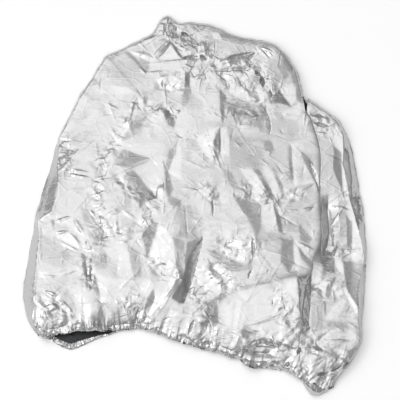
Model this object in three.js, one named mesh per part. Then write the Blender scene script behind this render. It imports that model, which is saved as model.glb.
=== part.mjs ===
// A cover for a two-seat golf cart, sewn from thin silver-coated polyester, empty and laid on its side.
// Millimetres, +Z up, +X to the right, +Y from the gathered hem to the roof of the cover.
//
// The upper panels are charted square to a sight line that leans LEAN from upright. A chart point
// has a place across (x) and up (v), and its height above the floor then gives its y.
// The origin is on the floor, under the middle of the cover.

import * as THREE from "three";

// The cloth
const SHEET = 2; // thickness of a panel as it lies, with its fine crinkle
const SEAM_GAP = 0.75; // how far each panel is drawn back from a seam
const LEAN = THREE.MathUtils.degToRad(15);

// The fold around the outside, where the upper cloth turns under to the back panel
const EDGE_HEIGHT = 15; // the outermost line of the cloth above the floor
const EDGE_ROLL = 20; // how far in from that line the cloth meets the floor
const ROLL_STEPS = 3;

// The hem, lifted into two mouths where the bag stands open
const MOUTHS = [
  { x: -580, half: 190, lift: 30 },
  { x: 585, half: 60, lift: 14 },
];
const MOUTH_REACH = 150; // how far up the cloth a mouth still lifts it

// The deep pleat where the front panel hangs over the right end panel
const PLEAT_DROP = 46; // the front panel's edge below its crest
const PLEAT_ROUND = 75; // the width over which the front panel's edge turns down
const PLEAT_DEPTH = 82; // the bottom of the pleat below the crest
const PLEAT_WIDTH = 120; // the width over which the right end panel rises out of it
const LAP_DROP = 40; // how far the right end panel lies under the front one where the pleat has ended
const LOWEST = 7; // no cloth of the pleat comes nearer to the floor than this
const PLEAT_ENDS = { shut: -640, open: -380, full: 330, top: 470 };

// Height of the cloth above the floor, and the width of its round shoulder, up the chart
const SECTIONS = [
  { v: -940, crest: 112, shoulder: 90 },
  { v: -800, crest: 150, shoulder: 115 },
  { v: -620, crest: 172, shoulder: 150 },
  { v: -340, crest: 152, shoulder: 180 },
  { v: -40, crest: 138, shoulder: 165 },
  { v: 260, crest: 126, shoulder: 125 },
  { v: 510, crest: 116, shoulder: 95 },
  { v: 660, crest: 104, shoulder: 75 },
  { v: 760, crest: 94, shoulder: 65 },
  { v: 870, crest: 70, shoulder: 50 },
  { v: 950, crest: 45, shoulder: 35 },
];

// The main folds: ridges rise and troughs fall from one end to the other, over a half width
const FOLDS = [
  { x1: -345, v1: 292, x2: -170, v2: 295, half: 70, rise: 20 },
  { x1: -425, v1: 122, x2: -237, v2: 215, half: 75, rise: 22 },
  { x1: -515, v1: 575, x2: -297, v2: 550, half: 70, rise: 16 },
  { x1: 202, v1: 400, x2: 327, v2: 350, half: 70, rise: 16 },
  { x1: 262, v1: 210, x2: 405, v2: 60, half: 70, rise: 16 },
  { x1: 485, v1: 310, x2: 560, v2: 90, half: 65, rise: 15 },
  { x1: -697, v1: -95, x2: -543, v2: -228, half: 75, rise: 20 },
  { x1: -512, v1: -350, x2: -434, v2: -587, half: 75, rise: 20 },
  { x1: 236, v1: -465, x2: 396, v2: -540, half: 80, rise: 18 },
  { x1: 236, v1: -465, x2: 191, v2: -663, half: 80, rise: 18 },
  { x1: 722, v1: -425, x2: 790, v2: -567, half: 65, rise: 14 },
  { x1: 25, v1: -190, x2: -97, v2: -490, half: 75, rise: -46 },
  { x1: -27, v1: 10, x2: 15, v2: -180, half: 65, rise: -22 },
  { x1: -210, v1: -433, x2: -300, v2: -600, half: 75, rise: -32 },
  { x1: -557, v1: -350, x2: -517, v2: -415, half: 70, rise: -24 },
  { x1: 67, v1: -483, x2: 307, v2: -413, half: 75, rise: -30 },
  { x1: 307, v1: -413, x2: 492, v2: -360, half: 75, rise: -30 },
  { x1: 282, v1: -180, x2: 267, v2: -380, half: 70, rise: -24 },
  { x1: -80, v1: 315, x2: -160, v2: 195, half: 65, rise: -18 },
  { x1: -107, v1: 350, x2: -92, v2: 465, half: 65, rise: -16 },
  { x1: 20, v1: 330, x2: 110, v2: 395, half: 65, rise: -15 },
  { x1: 107, v1: 657, x2: 132, v2: 415, half: 65, rise: -15 },
  { x1: -737, v1: -490, x2: -647, v2: -542, half: 70, rise: -22 },
  { x1: -677, v1: 170, x2: -772, v2: 15, half: 75, rise: -30 },
  { x1: -784, v1: -375, x2: -588, v2: -330, half: 70, rise: -19 },
  { x1: 692, v1: -272, x2: 852, v2: -278, half: 65, rise: -20 },
  { x1: 700, v1: 362, x2: 690, v2: 210, half: 60, rise: -14 },
  { x1: 632, v1: -688, x2: 819, v2: -695, half: 65, rise: -19 },
  { x1: -77, v1: 860, x2: 20, v2: 782, half: 55, rise: -30 },
  { x1: -147, v1: 910, x2: -157, v2: 850, half: 45, rise: -16 },
];

// Edges and seams of the panels in the chart, each from the hem up or from left to right
const LEFT_EDGE = [
  { x: -784, v: -658 },
  { x: -832, v: -570 },
  { x: -851, v: -445 },
  { x: -828, v: -275 },
  { x: -800, v: -95 },
  { x: -772, v: 15 },
  { x: -727, v: 170 },
  { x: -692, v: 315 },
  { x: -642, v: 408 },
  { x: -592, v: 510 },
  { x: -528, v: 612 },
  { x: -463, v: 718 },
];
const PUCKERED_SEAM = [
  { x: -552, v: -645 },
  { x: -556, v: -415 },
  { x: -535, v: -340 },
  { x: -500, v: -285 },
  { x: -482, v: -165 },
  { x: -482, v: -40 },
  { x: -488, v: 60 },
  { x: -468, v: 170 },
  { x: -445, v: 240 },
  { x: -382, v: 318 },
  { x: -332, v: 420 },
  { x: -308, v: 525 },
  { x: -268, v: 600 },
  { x: -228, v: 722 },
];
const PLEAT_EDGE = [
  { x: 540, v: -888 },
  { x: 515, v: -740 },
  { x: 532, v: -600 },
  { x: 538, v: -505 },
  { x: 555, v: -430 },
  { x: 582, v: -340 },
  { x: 590, v: -280 },
  { x: 622, v: -190 },
  { x: 627, v: -118 },
  { x: 622, v: -30 },
  { x: 626, v: 110 },
  { x: 627, v: 247 },
  { x: 604, v: 350 },
  { x: 572, v: 420 },
  { x: 552, v: 450 },
];
const RIGHT_EDGE = [
  { x: 672, v: -913 },
  { x: 717, v: -855 },
  { x: 781, v: -778 },
  { x: 812, v: -715 },
  { x: 826, v: -675 },
  { x: 826, v: -585 },
  { x: 838, v: -458 },
  { x: 852, v: -278 },
  { x: 836, v: -75 },
  { x: 822, v: 30 },
  { x: 795, v: 202 },
  { x: 750, v: 355 },
  { x: 678, v: 440 },
  { x: 622, v: 480 },
  { x: 566, v: 516 },
];
const LEFT_ROOF_SEAM = [
  { x: -463, v: 718 },
  { x: -378, v: 760 },
  { x: -300, v: 745 },
  { x: -228, v: 722 },
];
const ROOF_SEAM = [
  { x: -228, v: 722 },
  { x: -82, v: 718 },
  { x: 57, v: 725 },
  { x: 197, v: 730 },
  { x: 270, v: 712 },
];
const FLAP_SEAM = [
  { x: 552, v: 450 },
  { x: 487, v: 475 },
  { x: 443, v: 558 },
  { x: 418, v: 608 },
  { x: 362, v: 625 },
  { x: 305, v: 662 },
  { x: 270, v: 712 },
];
const ROOF_EDGE = [
  { x: -442, v: 742 },
  { x: -378, v: 770 },
  { x: -278, v: 820 },
  { x: -212, v: 855 },
  { x: -187, v: 900 },
  { x: -150, v: 948 },
  { x: -112, v: 922 },
  { x: -82, v: 905 },
  { x: -20, v: 910 },
  { x: 58, v: 898 },
  { x: 121, v: 875 },
  { x: 212, v: 837 },
  { x: 320, v: 818 },
  { x: 383, v: 800 },
  { x: 428, v: 766 },
  { x: 468, v: 728 },
  { x: 502, v: 670 },
  { x: 522, v: 600 },
  { x: 540, v: 530 },
];
const LEFT_HEM = [
  { x: -784, v: -658 },
  { x: -718, v: -685 },
  { x: -678, v: -665 },
  { x: -620, v: -638 },
  { x: -552, v: -645 },
];
const FRONT_HEM = [
  { x: -552, v: -645 },
  { x: -438, v: -640 },
  { x: -328, v: -638 },
  { x: -262, v: -635 },
  { x: -178, v: -660 },
  { x: -68, v: -700 },
  { x: 22, v: -735 },
  { x: 112, v: -745 },
  { x: 202, v: -778 },
  { x: 272, v: -830 },
  { x: 332, v: -825 },
  { x: 382, v: -832 },
  { x: 462, v: -842 },
  { x: 540, v: -888 },
];
const RIGHT_HEM = [
  { x: 514, v: -845 },
  { x: 548, v: -890 },
  { x: 582, v: -930 },
  { x: 625, v: -938 },
  { x: 672, v: -913 },
];
const BACK_HEM = [
  { x: 640, v: -925 },
  { x: 582, v: -942 },
  { x: 522, v: -905 },
  { x: 462, v: -855 },
  { x: 382, v: -846 },
  { x: 272, v: -842 },
  { x: 202, v: -790 },
  { x: 112, v: -757 },
  { x: 22, v: -747 },
  { x: -68, v: -712 },
  { x: -178, v: -672 },
  { x: -262, v: -650 },
  { x: -328, v: -650 },
  { x: -390, v: -652 },
  { x: -460, v: -668 },
  { x: -525, v: -690 },
  { x: -578, v: -715 },
  { x: -608, v: -732 },
  { x: -648, v: -729 },
  { x: -692, v: -712 },
  { x: -740, v: -690 },
];

// Cells of each panel
const ROWS = 30;
const FLAP_ROWS = 7; // the rows of the front panel that end at the roof's right flap
const LEFT_COLUMNS = 6;
const FRONT_COLUMNS = 26;
const RIGHT_COLUMNS = 9;
const ROOF_ROWS = 6;
const LAP = 26; // how far the right end panel reaches in under the front one
const LAP_AT_TOP = 8;
const LAP_NARROWS = 0.85; // the share of the way up the pleat past which it reaches in less
const HEM_CROWDING = 1.25; // over 1 draws the rows together towards the hem

// Looks
const SILVER = new THREE.MeshStandardMaterial({ color: 0xc6c9cb, roughness: 0.38, metalness: 0.45 });

const { clamp, lerp, smoothstep } = THREE.MathUtils;
const curve = (table) => new THREE.SplineCurve(table.map(({ x, v }) => new THREE.Vector2(x, v)));
const steps = (count) => Array.from({ length: count + 1 }, (_, i) => i / count);
const along = (line, shares) => shares.map((share) => line.getPointAt(share));

function distanceToSegment(x, v, a, b) {
  const dx = b.x - a.x;
  const dv = b.y - a.y;
  const square = dx * dx + dv * dv || 1; // two ends in one place make no line
  const share = clamp(((x - a.x) * dx + (v - a.y) * dv) / square, 0, 1);
  return Math.hypot(x - a.x - share * dx, v - a.y - share * dv);
}

function distanceToLine(x, v, line) {
  let nearest = Infinity;
  for (let i = 1; i < line.length; i++) {
    nearest = Math.min(nearest, distanceToSegment(x, v, line[i - 1], line[i]));
  }
  return nearest;
}

// The shares of the way along each edge at which the panels have their rows and columns
const fromHem = steps(ROWS).map((share) => share ** HEM_CROWDING);
const fromLeftEdge = steps(LEFT_COLUMNS).map((share) => 1 - Math.cos((share * Math.PI) / 2));
const acrossFront = steps(FRONT_COLUMNS);
const toRightEdge = steps(RIGHT_COLUMNS).map((share) => Math.sin((share * Math.PI) / 2));
const toRoofEdge = steps(ROOF_ROWS).map((share) => Math.sin((share * Math.PI) / 2));
const acrossRoof = steps(LEFT_COLUMNS + FRONT_COLUMNS + FLAP_ROWS);
const upPleat = steps(ROWS - FLAP_ROWS);

const leftEdge = along(curve(LEFT_EDGE), fromHem);
const puckeredSeam = along(curve(PUCKERED_SEAM), fromHem);
const pleatEdge = along(curve(PLEAT_EDGE), upPleat);
const flapSeam = along(curve(FLAP_SEAM), steps(FLAP_ROWS));
const rightEdge = along(curve(RIGHT_EDGE), upPleat);
const leftRoofSeam = along(curve(LEFT_ROOF_SEAM), fromLeftEdge);
const roofSeam = along(curve(ROOF_SEAM), acrossFront);
const roofEdge = along(curve(ROOF_EDGE), acrossRoof);
const leftHem = along(curve(LEFT_HEM), fromLeftEdge);
const frontHem = along(curve(FRONT_HEM), acrossFront);
const rightHem = along(curve(RIGHT_HEM), toRightEdge);
const rim = [...leftEdge, ...roofEdge, ...rightEdge.toReversed()];
const hem = [...leftHem, ...frontHem, ...rightHem.filter(({ x }) => x > frontHem.at(-1).x)];

// One value of the sections table at a place up the chart
function section(v, column) {
  const above = SECTIONS.findIndex((row) => row.v >= v);
  if (above < 0) return SECTIONS.at(-1)[column];
  if (above === 0) return SECTIONS[0][column];
  const low = SECTIONS[above - 1];
  const high = SECTIONS[above];
  return lerp(low[column], high[column], smoothstep(v, low.v, high.v));
}

// A quarter of an ellipse: upright at the edge, level at a share of 1 and beyond
const shoulder = (share) => Math.sqrt(1 - (1 - clamp(share, 0, 1)) ** 2);
// A soft fold: 1 on its line, level there and at its foot
const softFold = (share) => 1 - smoothstep(share, 0, 1);

function foldsAt(x, v) {
  return FOLDS.reduce((sum, { x1, v1, x2, v2, half, rise }) => {
    const away = distanceToSegment(x, v, new THREE.Vector2(x1, v1), new THREE.Vector2(x2, v2));
    return sum + rise * softFold(away / half);
  }, 0);
}

function mouthLift(x, fromTheHem) {
  const risen = ({ lift, half, x: middle }) => lift * softFold(Math.abs(x - middle) / half);
  return MOUTHS.reduce((sum, mouth) => sum + risen(mouth), 0) * softFold(fromTheHem / MOUTH_REACH);
}

// How far the pleat is open at a place up the chart, from 0 to 1
function pleatOpen(v) {
  const { shut, open, full, top } = PLEAT_ENDS;
  return smoothstep(v, shut, open) * (1 - smoothstep(v, full, top));
}

// The bag's height before its pleat
function bagHeight(x, v) {
  const fromTheHem = distanceToLine(x, v, hem);
  const inside = Math.min(fromTheHem, distanceToLine(x, v, rim));
  const risen = shoulder(inside / section(v, "shoulder"));
  const low = EDGE_HEIGHT + mouthLift(x, fromTheHem);
  return low + (section(v, "crest") - EDGE_HEIGHT + foldsAt(x, v)) * risen;
}

function frontHeight(x, v) {
  const away = distanceToLine(x, v, pleatEdge);
  return bagHeight(x, v) - PLEAT_DROP * pleatOpen(v) * (1 - shoulder(away / PLEAT_ROUND));
}

function rightHeight(x, v) {
  const depth = lerp(LAP_DROP, PLEAT_DEPTH, pleatOpen(v));
  const edgeX = pleatEdge.find((point) => point.y >= v)?.x ?? pleatEdge.at(-1).x;
  const away = x > edgeX ? distanceToLine(x, v, pleatEdge) : 0;
  const least = lerp(EDGE_HEIGHT, LOWEST, shoulder(distanceToLine(x, v, rim) / PLEAT_ROUND));
  return Math.max(bagHeight(x, v) - depth * softFold(away / PLEAT_WIDTH), least);
}

// From the chart to the part's own frame
function place(x, v, height) {
  const y = (v - height * Math.sin(LEAN)) / Math.cos(LEAN);
  return new THREE.Vector3(x, y, height);
}

// Fills a panel's chart between its four edges, row by row from the hem
function fill(bottom, top, left, right, across, up) {
  return up.map((t, j) =>
    across.map((u, i) => {
      const between = (name) => {
        const rows = lerp(bottom[i][name], top[i][name], t);
        const columns = lerp(left[j][name], right[j][name], u);
        const low = lerp(bottom[0][name], bottom.at(-1)[name], u);
        const high = lerp(top[0][name], top.at(-1)[name], u);
        return rows + columns - lerp(low, high, t);
      };
      return new THREE.Vector2(between("x"), between("y"));
    }),
  );
}

const raise = (chart, height) => chart.map((row) => row.map(({ x, y }) => place(x, y, height(x, y))));

// The outermost line of the whole cover, and which way is inwards at each of its points
const rimLine = rim.map(({ x, y }) => place(x, y, EDGE_HEIGHT));
const rimInward = rimLine.map((_, i) => {
  const before = rimLine[Math.max(i - 1, 0)];
  const after = rimLine[Math.min(i + 1, rimLine.length - 1)];
  const ahead = after.clone().sub(before).normalize();
  return new THREE.Vector3(ahead.y, -ahead.x, 0);
});

// The line of the cloth at one step of its turn from the outermost line to the floor
function rolledLine(from, to, step) {
  const angle = (step / ROLL_STEPS) * (Math.PI / 2);
  const reach = EDGE_ROLL * (1 - Math.cos(angle));
  const height = lerp(EDGE_HEIGHT, SHEET / 2, Math.sin(angle));
  return rimLine
    .slice(from, to)
    .map((point, i) => point.clone().addScaledVector(rimInward[from + i], reach).setZ(height));
}

// Draws the sides of a panel that end in a seam back from it, square to the seam
function drawBack(points, { left, right, bottom, top }) {
  const rows = points.length - 1;
  const columns = points[0].length - 1;
  const pulled = points.map((row) => row.map((point) => point.clone()));
  const pull = (j, i, inner, before, after) => {
    const seam = after.clone().sub(before).normalize();
    const way = inner.clone().sub(points[j][i]);
    way.addScaledVector(seam, -way.dot(seam)).normalize();
    pulled[j][i].addScaledVector(way, SEAM_GAP);
  };
  for (let j = 0; j <= rows; j++) {
    const [low, high] = [points[Math.max(j - 1, 0)], points[Math.min(j + 1, rows)]];
    if (left) pull(j, 0, points[j][1], low[0], high[0]);
    if (right) pull(j, columns, points[j][columns - 1], low[columns], high[columns]);
  }
  for (let i = 0; i <= columns; i++) {
    const [before, after] = [Math.max(i - 1, 0), Math.min(i + 1, columns)];
    if (bottom) pull(0, i, points[1][i], points[0][before], points[0][after]);
    if (top) pull(rows, i, points[rows - 1][i], points[rows][before], points[rows][after]);
  }
  return pulled;
}

// A closed solid of the cloth's thickness about a grid of points in its middle
function sheetSolid(points) {
  const rows = points.length;
  const columns = points[0].length;
  const at = (j, i) => points[clamp(j, 0, rows - 1)][clamp(i, 0, columns - 1)];
  const outer = [];
  const inner = [];
  for (let j = 0; j < rows; j++) {
    for (let i = 0; i < columns; i++) {
      const across = at(j, i + 1).clone().sub(at(j, i - 1));
      const up = at(j + 1, i).clone().sub(at(j - 1, i));
      const normal = across.cross(up).normalize();
      outer.push(...at(j, i).clone().addScaledVector(normal, SHEET / 2));
      inner.push(...at(j, i).clone().addScaledVector(normal, -SHEET / 2));
    }
  }
  const under = rows * columns;
  const corner = (j, i) => j * columns + i;
  const faces = [];
  const quad = (a, b, c, d) => faces.push(a, b, c, a, c, d);
  for (let j = 1; j < rows; j++) {
    for (let i = 1; i < columns; i++) {
      const [a, b, c, d] = [corner(j - 1, i - 1), corner(j - 1, i), corner(j, i), corner(j, i - 1)];
      quad(a, b, c, d);
      quad(under + c, under + b, under + a, under + d); // split the same way as the one above it
    }
  }
  const wall = (a, b) => quad(b, a, under + a, under + b);
  for (let i = 1; i < columns; i++) {
    wall(corner(0, i - 1), corner(0, i));
    wall(corner(rows - 1, i), corner(rows - 1, i - 1));
  }
  for (let j = 1; j < rows; j++) {
    wall(corner(j, 0), corner(j - 1, 0));
    wall(corner(j - 1, columns - 1), corner(j, columns - 1));
  }
  const solid = new THREE.BufferGeometry();
  solid.setAttribute("position", new THREE.Float32BufferAttribute([...outer, ...inner], 3));
  solid.setIndex(faces);
  return solid;
}

// Front side panel, from the puckered seam to the edge of the pleat
const frontRight = [...pleatEdge, ...flapSeam.slice(1)];
const frontChart = fill(frontHem, roofSeam, puckeredSeam, frontRight, acrossFront, fromHem);
const frontPoints = drawBack(raise(frontChart, frontHeight), { left: true, right: true, top: true });

// Left end panel, folded under along the outline
const leftChart = fill(leftHem, leftRoofSeam, leftEdge, puckeredSeam, fromLeftEdge, fromHem);
const leftRaised = raise(leftChart, frontHeight);
for (let step = 1; step <= ROLL_STEPS; step++) {
  const line = rolledLine(0, leftEdge.length, step);
  leftRaised.forEach((row, j) => row.unshift(line[j]));
}
const leftPoints = drawBack(leftRaised, { right: true, top: true });

// Roof panel, folded under along the outline
const roofBottom = [...leftRoofSeam, ...roofSeam.slice(1), ...flapSeam.toReversed().slice(1)];
const steepen = (from, to) => toRoofEdge.map((share) => from.clone().lerp(to, share));
const roofLeft = steepen(roofBottom[0], roofEdge[0]);
const roofRight = steepen(roofBottom.at(-1), roofEdge.at(-1));
const roofChart = fill(roofBottom, roofEdge, roofLeft, roofRight, acrossRoof, toRoofEdge);
const roofRaised = raise(roofChart, frontHeight);
for (let step = 1; step <= ROLL_STEPS; step++) {
  const from = leftEdge.length;
  roofRaised.push(rolledLine(from, from + roofEdge.length, step));
}
const roofPoints = drawBack(roofRaised, { bottom: true, left: true });

// Right end panel, reaching in under the front one and folded under along the outline
const lapEdge = pleatEdge.map(({ x, y }, j) => {
  const lap = lerp(LAP, LAP_AT_TOP, smoothstep(upPleat[j], LAP_NARROWS, 1));
  return j ? new THREE.Vector2(x - lap, y) : rightHem[0];
});
const rightTop = toRightEdge.map((share) => lapEdge.at(-1).clone().lerp(rightEdge.at(-1), share));
const rightChart = fill(rightHem, rightTop, lapEdge, rightEdge, toRightEdge, upPleat);
const rightPoints = raise(rightChart, rightHeight);
for (let step = 1; step <= ROLL_STEPS; step++) {
  const line = rolledLine(rim.length - rightEdge.length, rim.length, step).reverse();
  rightPoints.forEach((row, j) => row.push(line[j]));
}

// Back side panel, flat on the floor inside the fold, with its hem out under the mouths
const backSheet = new THREE.Shape([
  ...rimLine.map((point, i) => {
    const edge = point.clone().addScaledVector(rimInward[i], EDGE_ROLL + 2 * SEAM_GAP);
    return new THREE.Vector2(edge.x, edge.y);
  }),
  ...BACK_HEM.map(({ x, v }) => {
    const edge = place(x, v, 0);
    return new THREE.Vector2(edge.x, edge.y);
  }),
]);
const backSolid = new THREE.ExtrudeGeometry(backSheet, { depth: SHEET, bevelEnabled: false });

const cover = new THREE.Group();
function addPanel(name, geometry) {
  const panel = new THREE.Mesh(geometry, SILVER.clone());
  panel.name = name;
  cover.add(panel);
}
addPanel("front_side_panel", sheetSolid(frontPoints));
addPanel("left_end_panel", sheetSolid(leftPoints));
addPanel("roof_panel", sheetSolid(roofPoints));
addPanel("right_end_panel", sheetSolid(rightPoints));
addPanel("back_side_panel", backSolid);

export default cover;
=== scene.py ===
import math

import bpy
import numpy as np
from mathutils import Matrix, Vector


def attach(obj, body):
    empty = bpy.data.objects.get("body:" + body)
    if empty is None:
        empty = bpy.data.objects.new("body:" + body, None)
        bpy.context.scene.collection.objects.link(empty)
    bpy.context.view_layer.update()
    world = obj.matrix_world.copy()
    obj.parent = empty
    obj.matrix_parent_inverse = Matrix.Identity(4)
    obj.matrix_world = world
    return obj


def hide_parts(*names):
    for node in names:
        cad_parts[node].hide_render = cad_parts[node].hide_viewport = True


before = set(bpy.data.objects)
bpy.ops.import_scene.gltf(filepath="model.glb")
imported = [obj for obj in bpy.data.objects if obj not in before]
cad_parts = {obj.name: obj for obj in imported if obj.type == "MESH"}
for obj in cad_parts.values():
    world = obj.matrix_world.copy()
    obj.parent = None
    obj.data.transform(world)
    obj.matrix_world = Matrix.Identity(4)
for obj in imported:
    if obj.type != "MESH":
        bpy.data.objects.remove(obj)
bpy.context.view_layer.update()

# Camera
# The cover lies on the floor and is seen from above and a little towards its hem, through a long lens.
# Its edges are charted square to that sight line: x to the right and v up the picture, in millimetres.
# The sizes of the cover are in millimetres too, and those of the studio in metres.
MM = 0.001
LEAN = math.radians(15)  # of the sight line from upright
VIEW_MIDDLE = (22.5, 10)
VIEW_HEIGHT = 80  # the height at which the chart has its true scale
VIEW_SIDE = 2000
LENS = 300
SENSOR = 36


def place(x, v, height):
    """From the chart to the frame of the part, in metres."""
    y = (v - height * math.sin(LEAN)) / math.cos(LEAN)
    return np.stack([x * MM, y * MM, height * MM + 0 * x], axis=-1)


middle = place(np.array(VIEW_MIDDLE[0]), VIEW_MIDDLE[1], VIEW_HEIGHT)
distance = VIEW_SIDE * MM * LENS / SENSOR
view = bpy.data.objects.new("view", bpy.data.cameras.new("view"))
view.data.lens = LENS
view.data.sensor_width = SENSOR
view.data.clip_end = 500
view.location = middle + distance * np.array([0, -math.sin(LEAN), math.cos(LEAN)])
view.rotation_euler = (LEAN, 0, 0)
bpy.context.collection.objects.link(view)
bpy.context.scene.camera = view

# Front side panel
# The largest panel, of thin polyester taffeta with a silver coating, packed flat for months and just
# shaken out, so it keeps its packing creases. It is sewn to the left end and the roof, it hangs over
# the right end in a deep pleat, and elastic gathers its hem.
EDGE_HEIGHT = 5  # of the outermost line of the cloth, where the side turns under
EDGE_ROLL = 5  # how far in from that line the cloth meets the floor
MOUTHS = [  # x, half width, lift: where the hem stands open
    (-580, 190, 30),
    (585, 60, 14),
]
MOUTH_REACH = 150  # how far up the cloth a mouth still lifts it
PLEAT_DROP, PLEAT_ROUND = 6, 30  # the front's free edge turns down by this much over this width
LAP_DROPS = [  # v, how far the right end lies below the front's free edge
    (-940, 4), (-600, 6), (-330, 14), (200, 12), (450, 16),
]
RIM_WIDTH = 80  # in from the outline, over which the lap and the pleat set in
PLEAT_DEPTH = 32
PLEAT_WIDTH, PLEAT_BANK = 42, 50  # the fold falls steeply over its width and climbs back over its bank
PLEAT_SHUT, PLEAT_OPEN, PLEAT_FULL, PLEAT_TOP = -330, -240, -60, 60  # up the chart
SECTIONS = [  # v, height of the crest, width of the round shoulder
    (-940, 112, 90),
    (-800, 150, 115),
    (-620, 172, 150),
    (-340, 152, 180),
    (-40, 138, 165),
    (260, 126, 125),
    (510, 116, 95),
    (660, 104, 75),
    (760, 94, 65),
    (870, 70, 50),
    (950, 45, 35),
]
FOLDS = [  # x1, v1, x2, v2, half width, rise of the main ridges and troughs
    (-345, 292, -170, 295, 70, 20),
    (-425, 122, -237, 215, 75, 22),
    (-515, 575, -297, 550, 70, 16),
    (202, 400, 327, 350, 70, 16),
    (262, 210, 405, 60, 70, 16),
    (485, 310, 560, 90, 65, 15),
    (-697, -95, -543, -228, 75, 20),
    (-512, -350, -434, -587, 75, 20),
    (236, -465, 396, -540, 80, 18),
    (236, -465, 191, -663, 80, 18),
    (722, -425, 790, -567, 65, 14),
    (25, -190, -97, -490, 75, -46),
    (-27, 10, 15, -180, 65, -22),
    (-210, -433, -300, -600, 75, -32),
    (-557, -350, -517, -415, 90, -8),
    (67, -483, 307, -413, 75, -30),
    (307, -413, 492, -360, 75, -30),
    (282, -180, 267, -380, 70, -24),
    (-80, 315, -160, 195, 65, -18),
    (-107, 350, -92, 465, 65, -16),
    (20, 330, 110, 395, 65, -15),
    (107, 657, 132, 415, 65, -15),
    (-737, -490, -647, -542, 70, -22),
    (-677, 170, -772, 15, 75, -30),
    (-784, -375, -588, -330, 70, -19),
    (692, -272, 852, -278, 65, -20),
    (700, 362, 690, 210, 60, -14),
    (632, -688, 819, -695, 65, -19),
    (-77, 860, 20, 782, 55, -30),
    (-147, 910, -157, 850, 45, -16),
]
LEFT_EDGE = [
    (-784, -658), (-832, -570), (-851, -445), (-828, -275), (-800, -95), (-772, 15), (-727, 170),
    (-692, 315), (-642, 408), (-592, 510), (-528, 612), (-463, 718),
]
PUCKERED_SEAM = [
    (-552, -636), (-556, -415), (-535, -340), (-500, -285), (-482, -165), (-482, -40), (-488, 60),
    (-468, 170), (-445, 240), (-382, 318), (-332, 420), (-308, 525), (-268, 600), (-228, 722),
]
PLEAT_EDGE = [
    (540, -888), (515, -740), (532, -600), (538, -505), (555, -430), (582, -340), (590, -280), (622, -190),
    (627, -118), (622, -30), (626, 110), (627, 247), (604, 350), (572, 420), (552, 450),
]
RIGHT_EDGE = [
    (672, -913), (717, -855), (781, -778), (812, -715), (826, -675), (826, -585), (838, -458), (852, -278),
    (836, -75), (822, 30), (795, 202), (750, 355), (678, 440), (622, 480), (566, 516),
]
LEFT_ROOF_SEAM = [(-463, 718), (-378, 760), (-300, 745), (-228, 722)]
ROOF_SEAM = [(-228, 722), (-82, 718), (57, 725), (197, 730), (270, 712)]
FLAP_SEAM = [(552, 450), (487, 475), (443, 558), (418, 608), (362, 625), (305, 662), (270, 712)]
ROOF_EDGE = [
    (-463, 718), (-442, 742), (-378, 770), (-278, 820), (-212, 855), (-187, 900), (-150, 948), (-112, 922),
    (-82, 905), (-20, 910), (58, 898), (121, 875), (212, 837), (320, 818), (383, 800), (428, 766),
    (468, 728), (502, 670), (522, 600), (540, 530),
]
LEFT_HEM = [(-784, -658), (-738, -690), (-674, -658), (-620, -643), (-552, -636)]
FRONT_HEM = [
    (-552, -636), (-495, -631), (-436, -651), (-385, -642), (-328, -638), (-262, -635), (-178, -660),
    (-68, -700), (22, -735), (112, -745), (202, -778), (272, -830), (332, -825), (382, -832),
    (462, -842), (540, -888),
]
RIGHT_HEM = [(514, -845), (548, -890), (582, -930), (625, -938), (672, -913)]

FOLD_RUN_OUT = 0.8  # of its half width, past both ends
FOLD_SHARE = 0.4  # of a fold's rise, because the facets below carry the rest of it
ROWS = 500
FLAP_ROWS = 117  # of those rows, beside the flap of the roof
FRONT_COLUMNS = 400
SPAN_STEPS, OUTLINE_STEPS = 32, 60
HEM_CROWDING = 1.25  # crowds the rows towards the hem, which has the finest gathers


def along(table, shares):
    """Places at these shares of the way along a smooth line through the table's points."""
    points = np.array(table, float)
    ends = np.vstack([points[:1], points, points[-1:]])
    t = np.linspace(0, 1, SPAN_STEPS + 1)[:-1, None]
    spans = []
    for p0, p1, p2, p3 in zip(ends, ends[1:], ends[2:], ends[3:]):
        start, end = (p2 - p0) / 2, (p3 - p1) / 2
        cubic = (2 * p1 - 2 * p2 + start + end) * t**3
        spans.append(cubic + (3 * p2 - 3 * p1 - 2 * start - end) * t**2 + start * t + p1)
    fine = np.vstack([*spans, points[-1:]])
    length = np.concatenate([[0], np.cumsum(np.hypot(*np.diff(fine, axis=0).T))])
    at = np.asarray(shares) * length[-1]
    return np.stack([np.interp(at, length, fine[:, 0]), np.interp(at, length, fine[:, 1])], axis=-1)


def nearest(x, v, line):
    """Distance from each place to a chart line, and how far along the line its nearest point is."""
    best = np.full(np.shape(x), np.inf)
    where = np.zeros(np.shape(x))
    passed = 0.0
    for (ax, av), (bx, bv) in zip(line[:-1], line[1:]):
        length = math.hypot(bx - ax, bv - av)
        if length < 0.01:
            continue
        share = np.clip(((x - ax) * (bx - ax) + (v - av) * (bv - av)) / length**2, 0, 1)
        away = np.hypot(x - ax - share * (bx - ax), v - av - share * (bv - av))
        closer = away < best
        best = np.where(closer, away, best)
        where = np.where(closer, passed + share * length, where)
        passed += length
    return best, where


def smoothstep(value, low, high):
    share = np.clip((value - low) / (high - low), 0, 1)
    return share * share * (3 - 2 * share)


def shoulder(share):
    return np.sqrt(1 - (1 - np.clip(share, 0, 1)) ** 2)


def soft_fold(share):
    return 1 - smoothstep(share, 0, 1)


def drift(x, v, spacing, seed):
    """Slow smooth noise between about -1 and 1."""
    size = 64
    value = np.random.default_rng(seed).uniform(-1, 1, (size, size))
    p, q = x / spacing, v / spacing
    i, j = np.floor(p).astype(int), np.floor(q).astype(int)
    s, t = smoothstep(p - i, 0, 1), smoothstep(q - j, 0, 1)
    low = value[j % size, i % size] * (1 - s) + value[j % size, (i + 1) % size] * s
    high = value[(j + 1) % size, i % size] * (1 - s) + value[(j + 1) % size, (i + 1) % size] * s
    return low * (1 - t) + high * t


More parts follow.
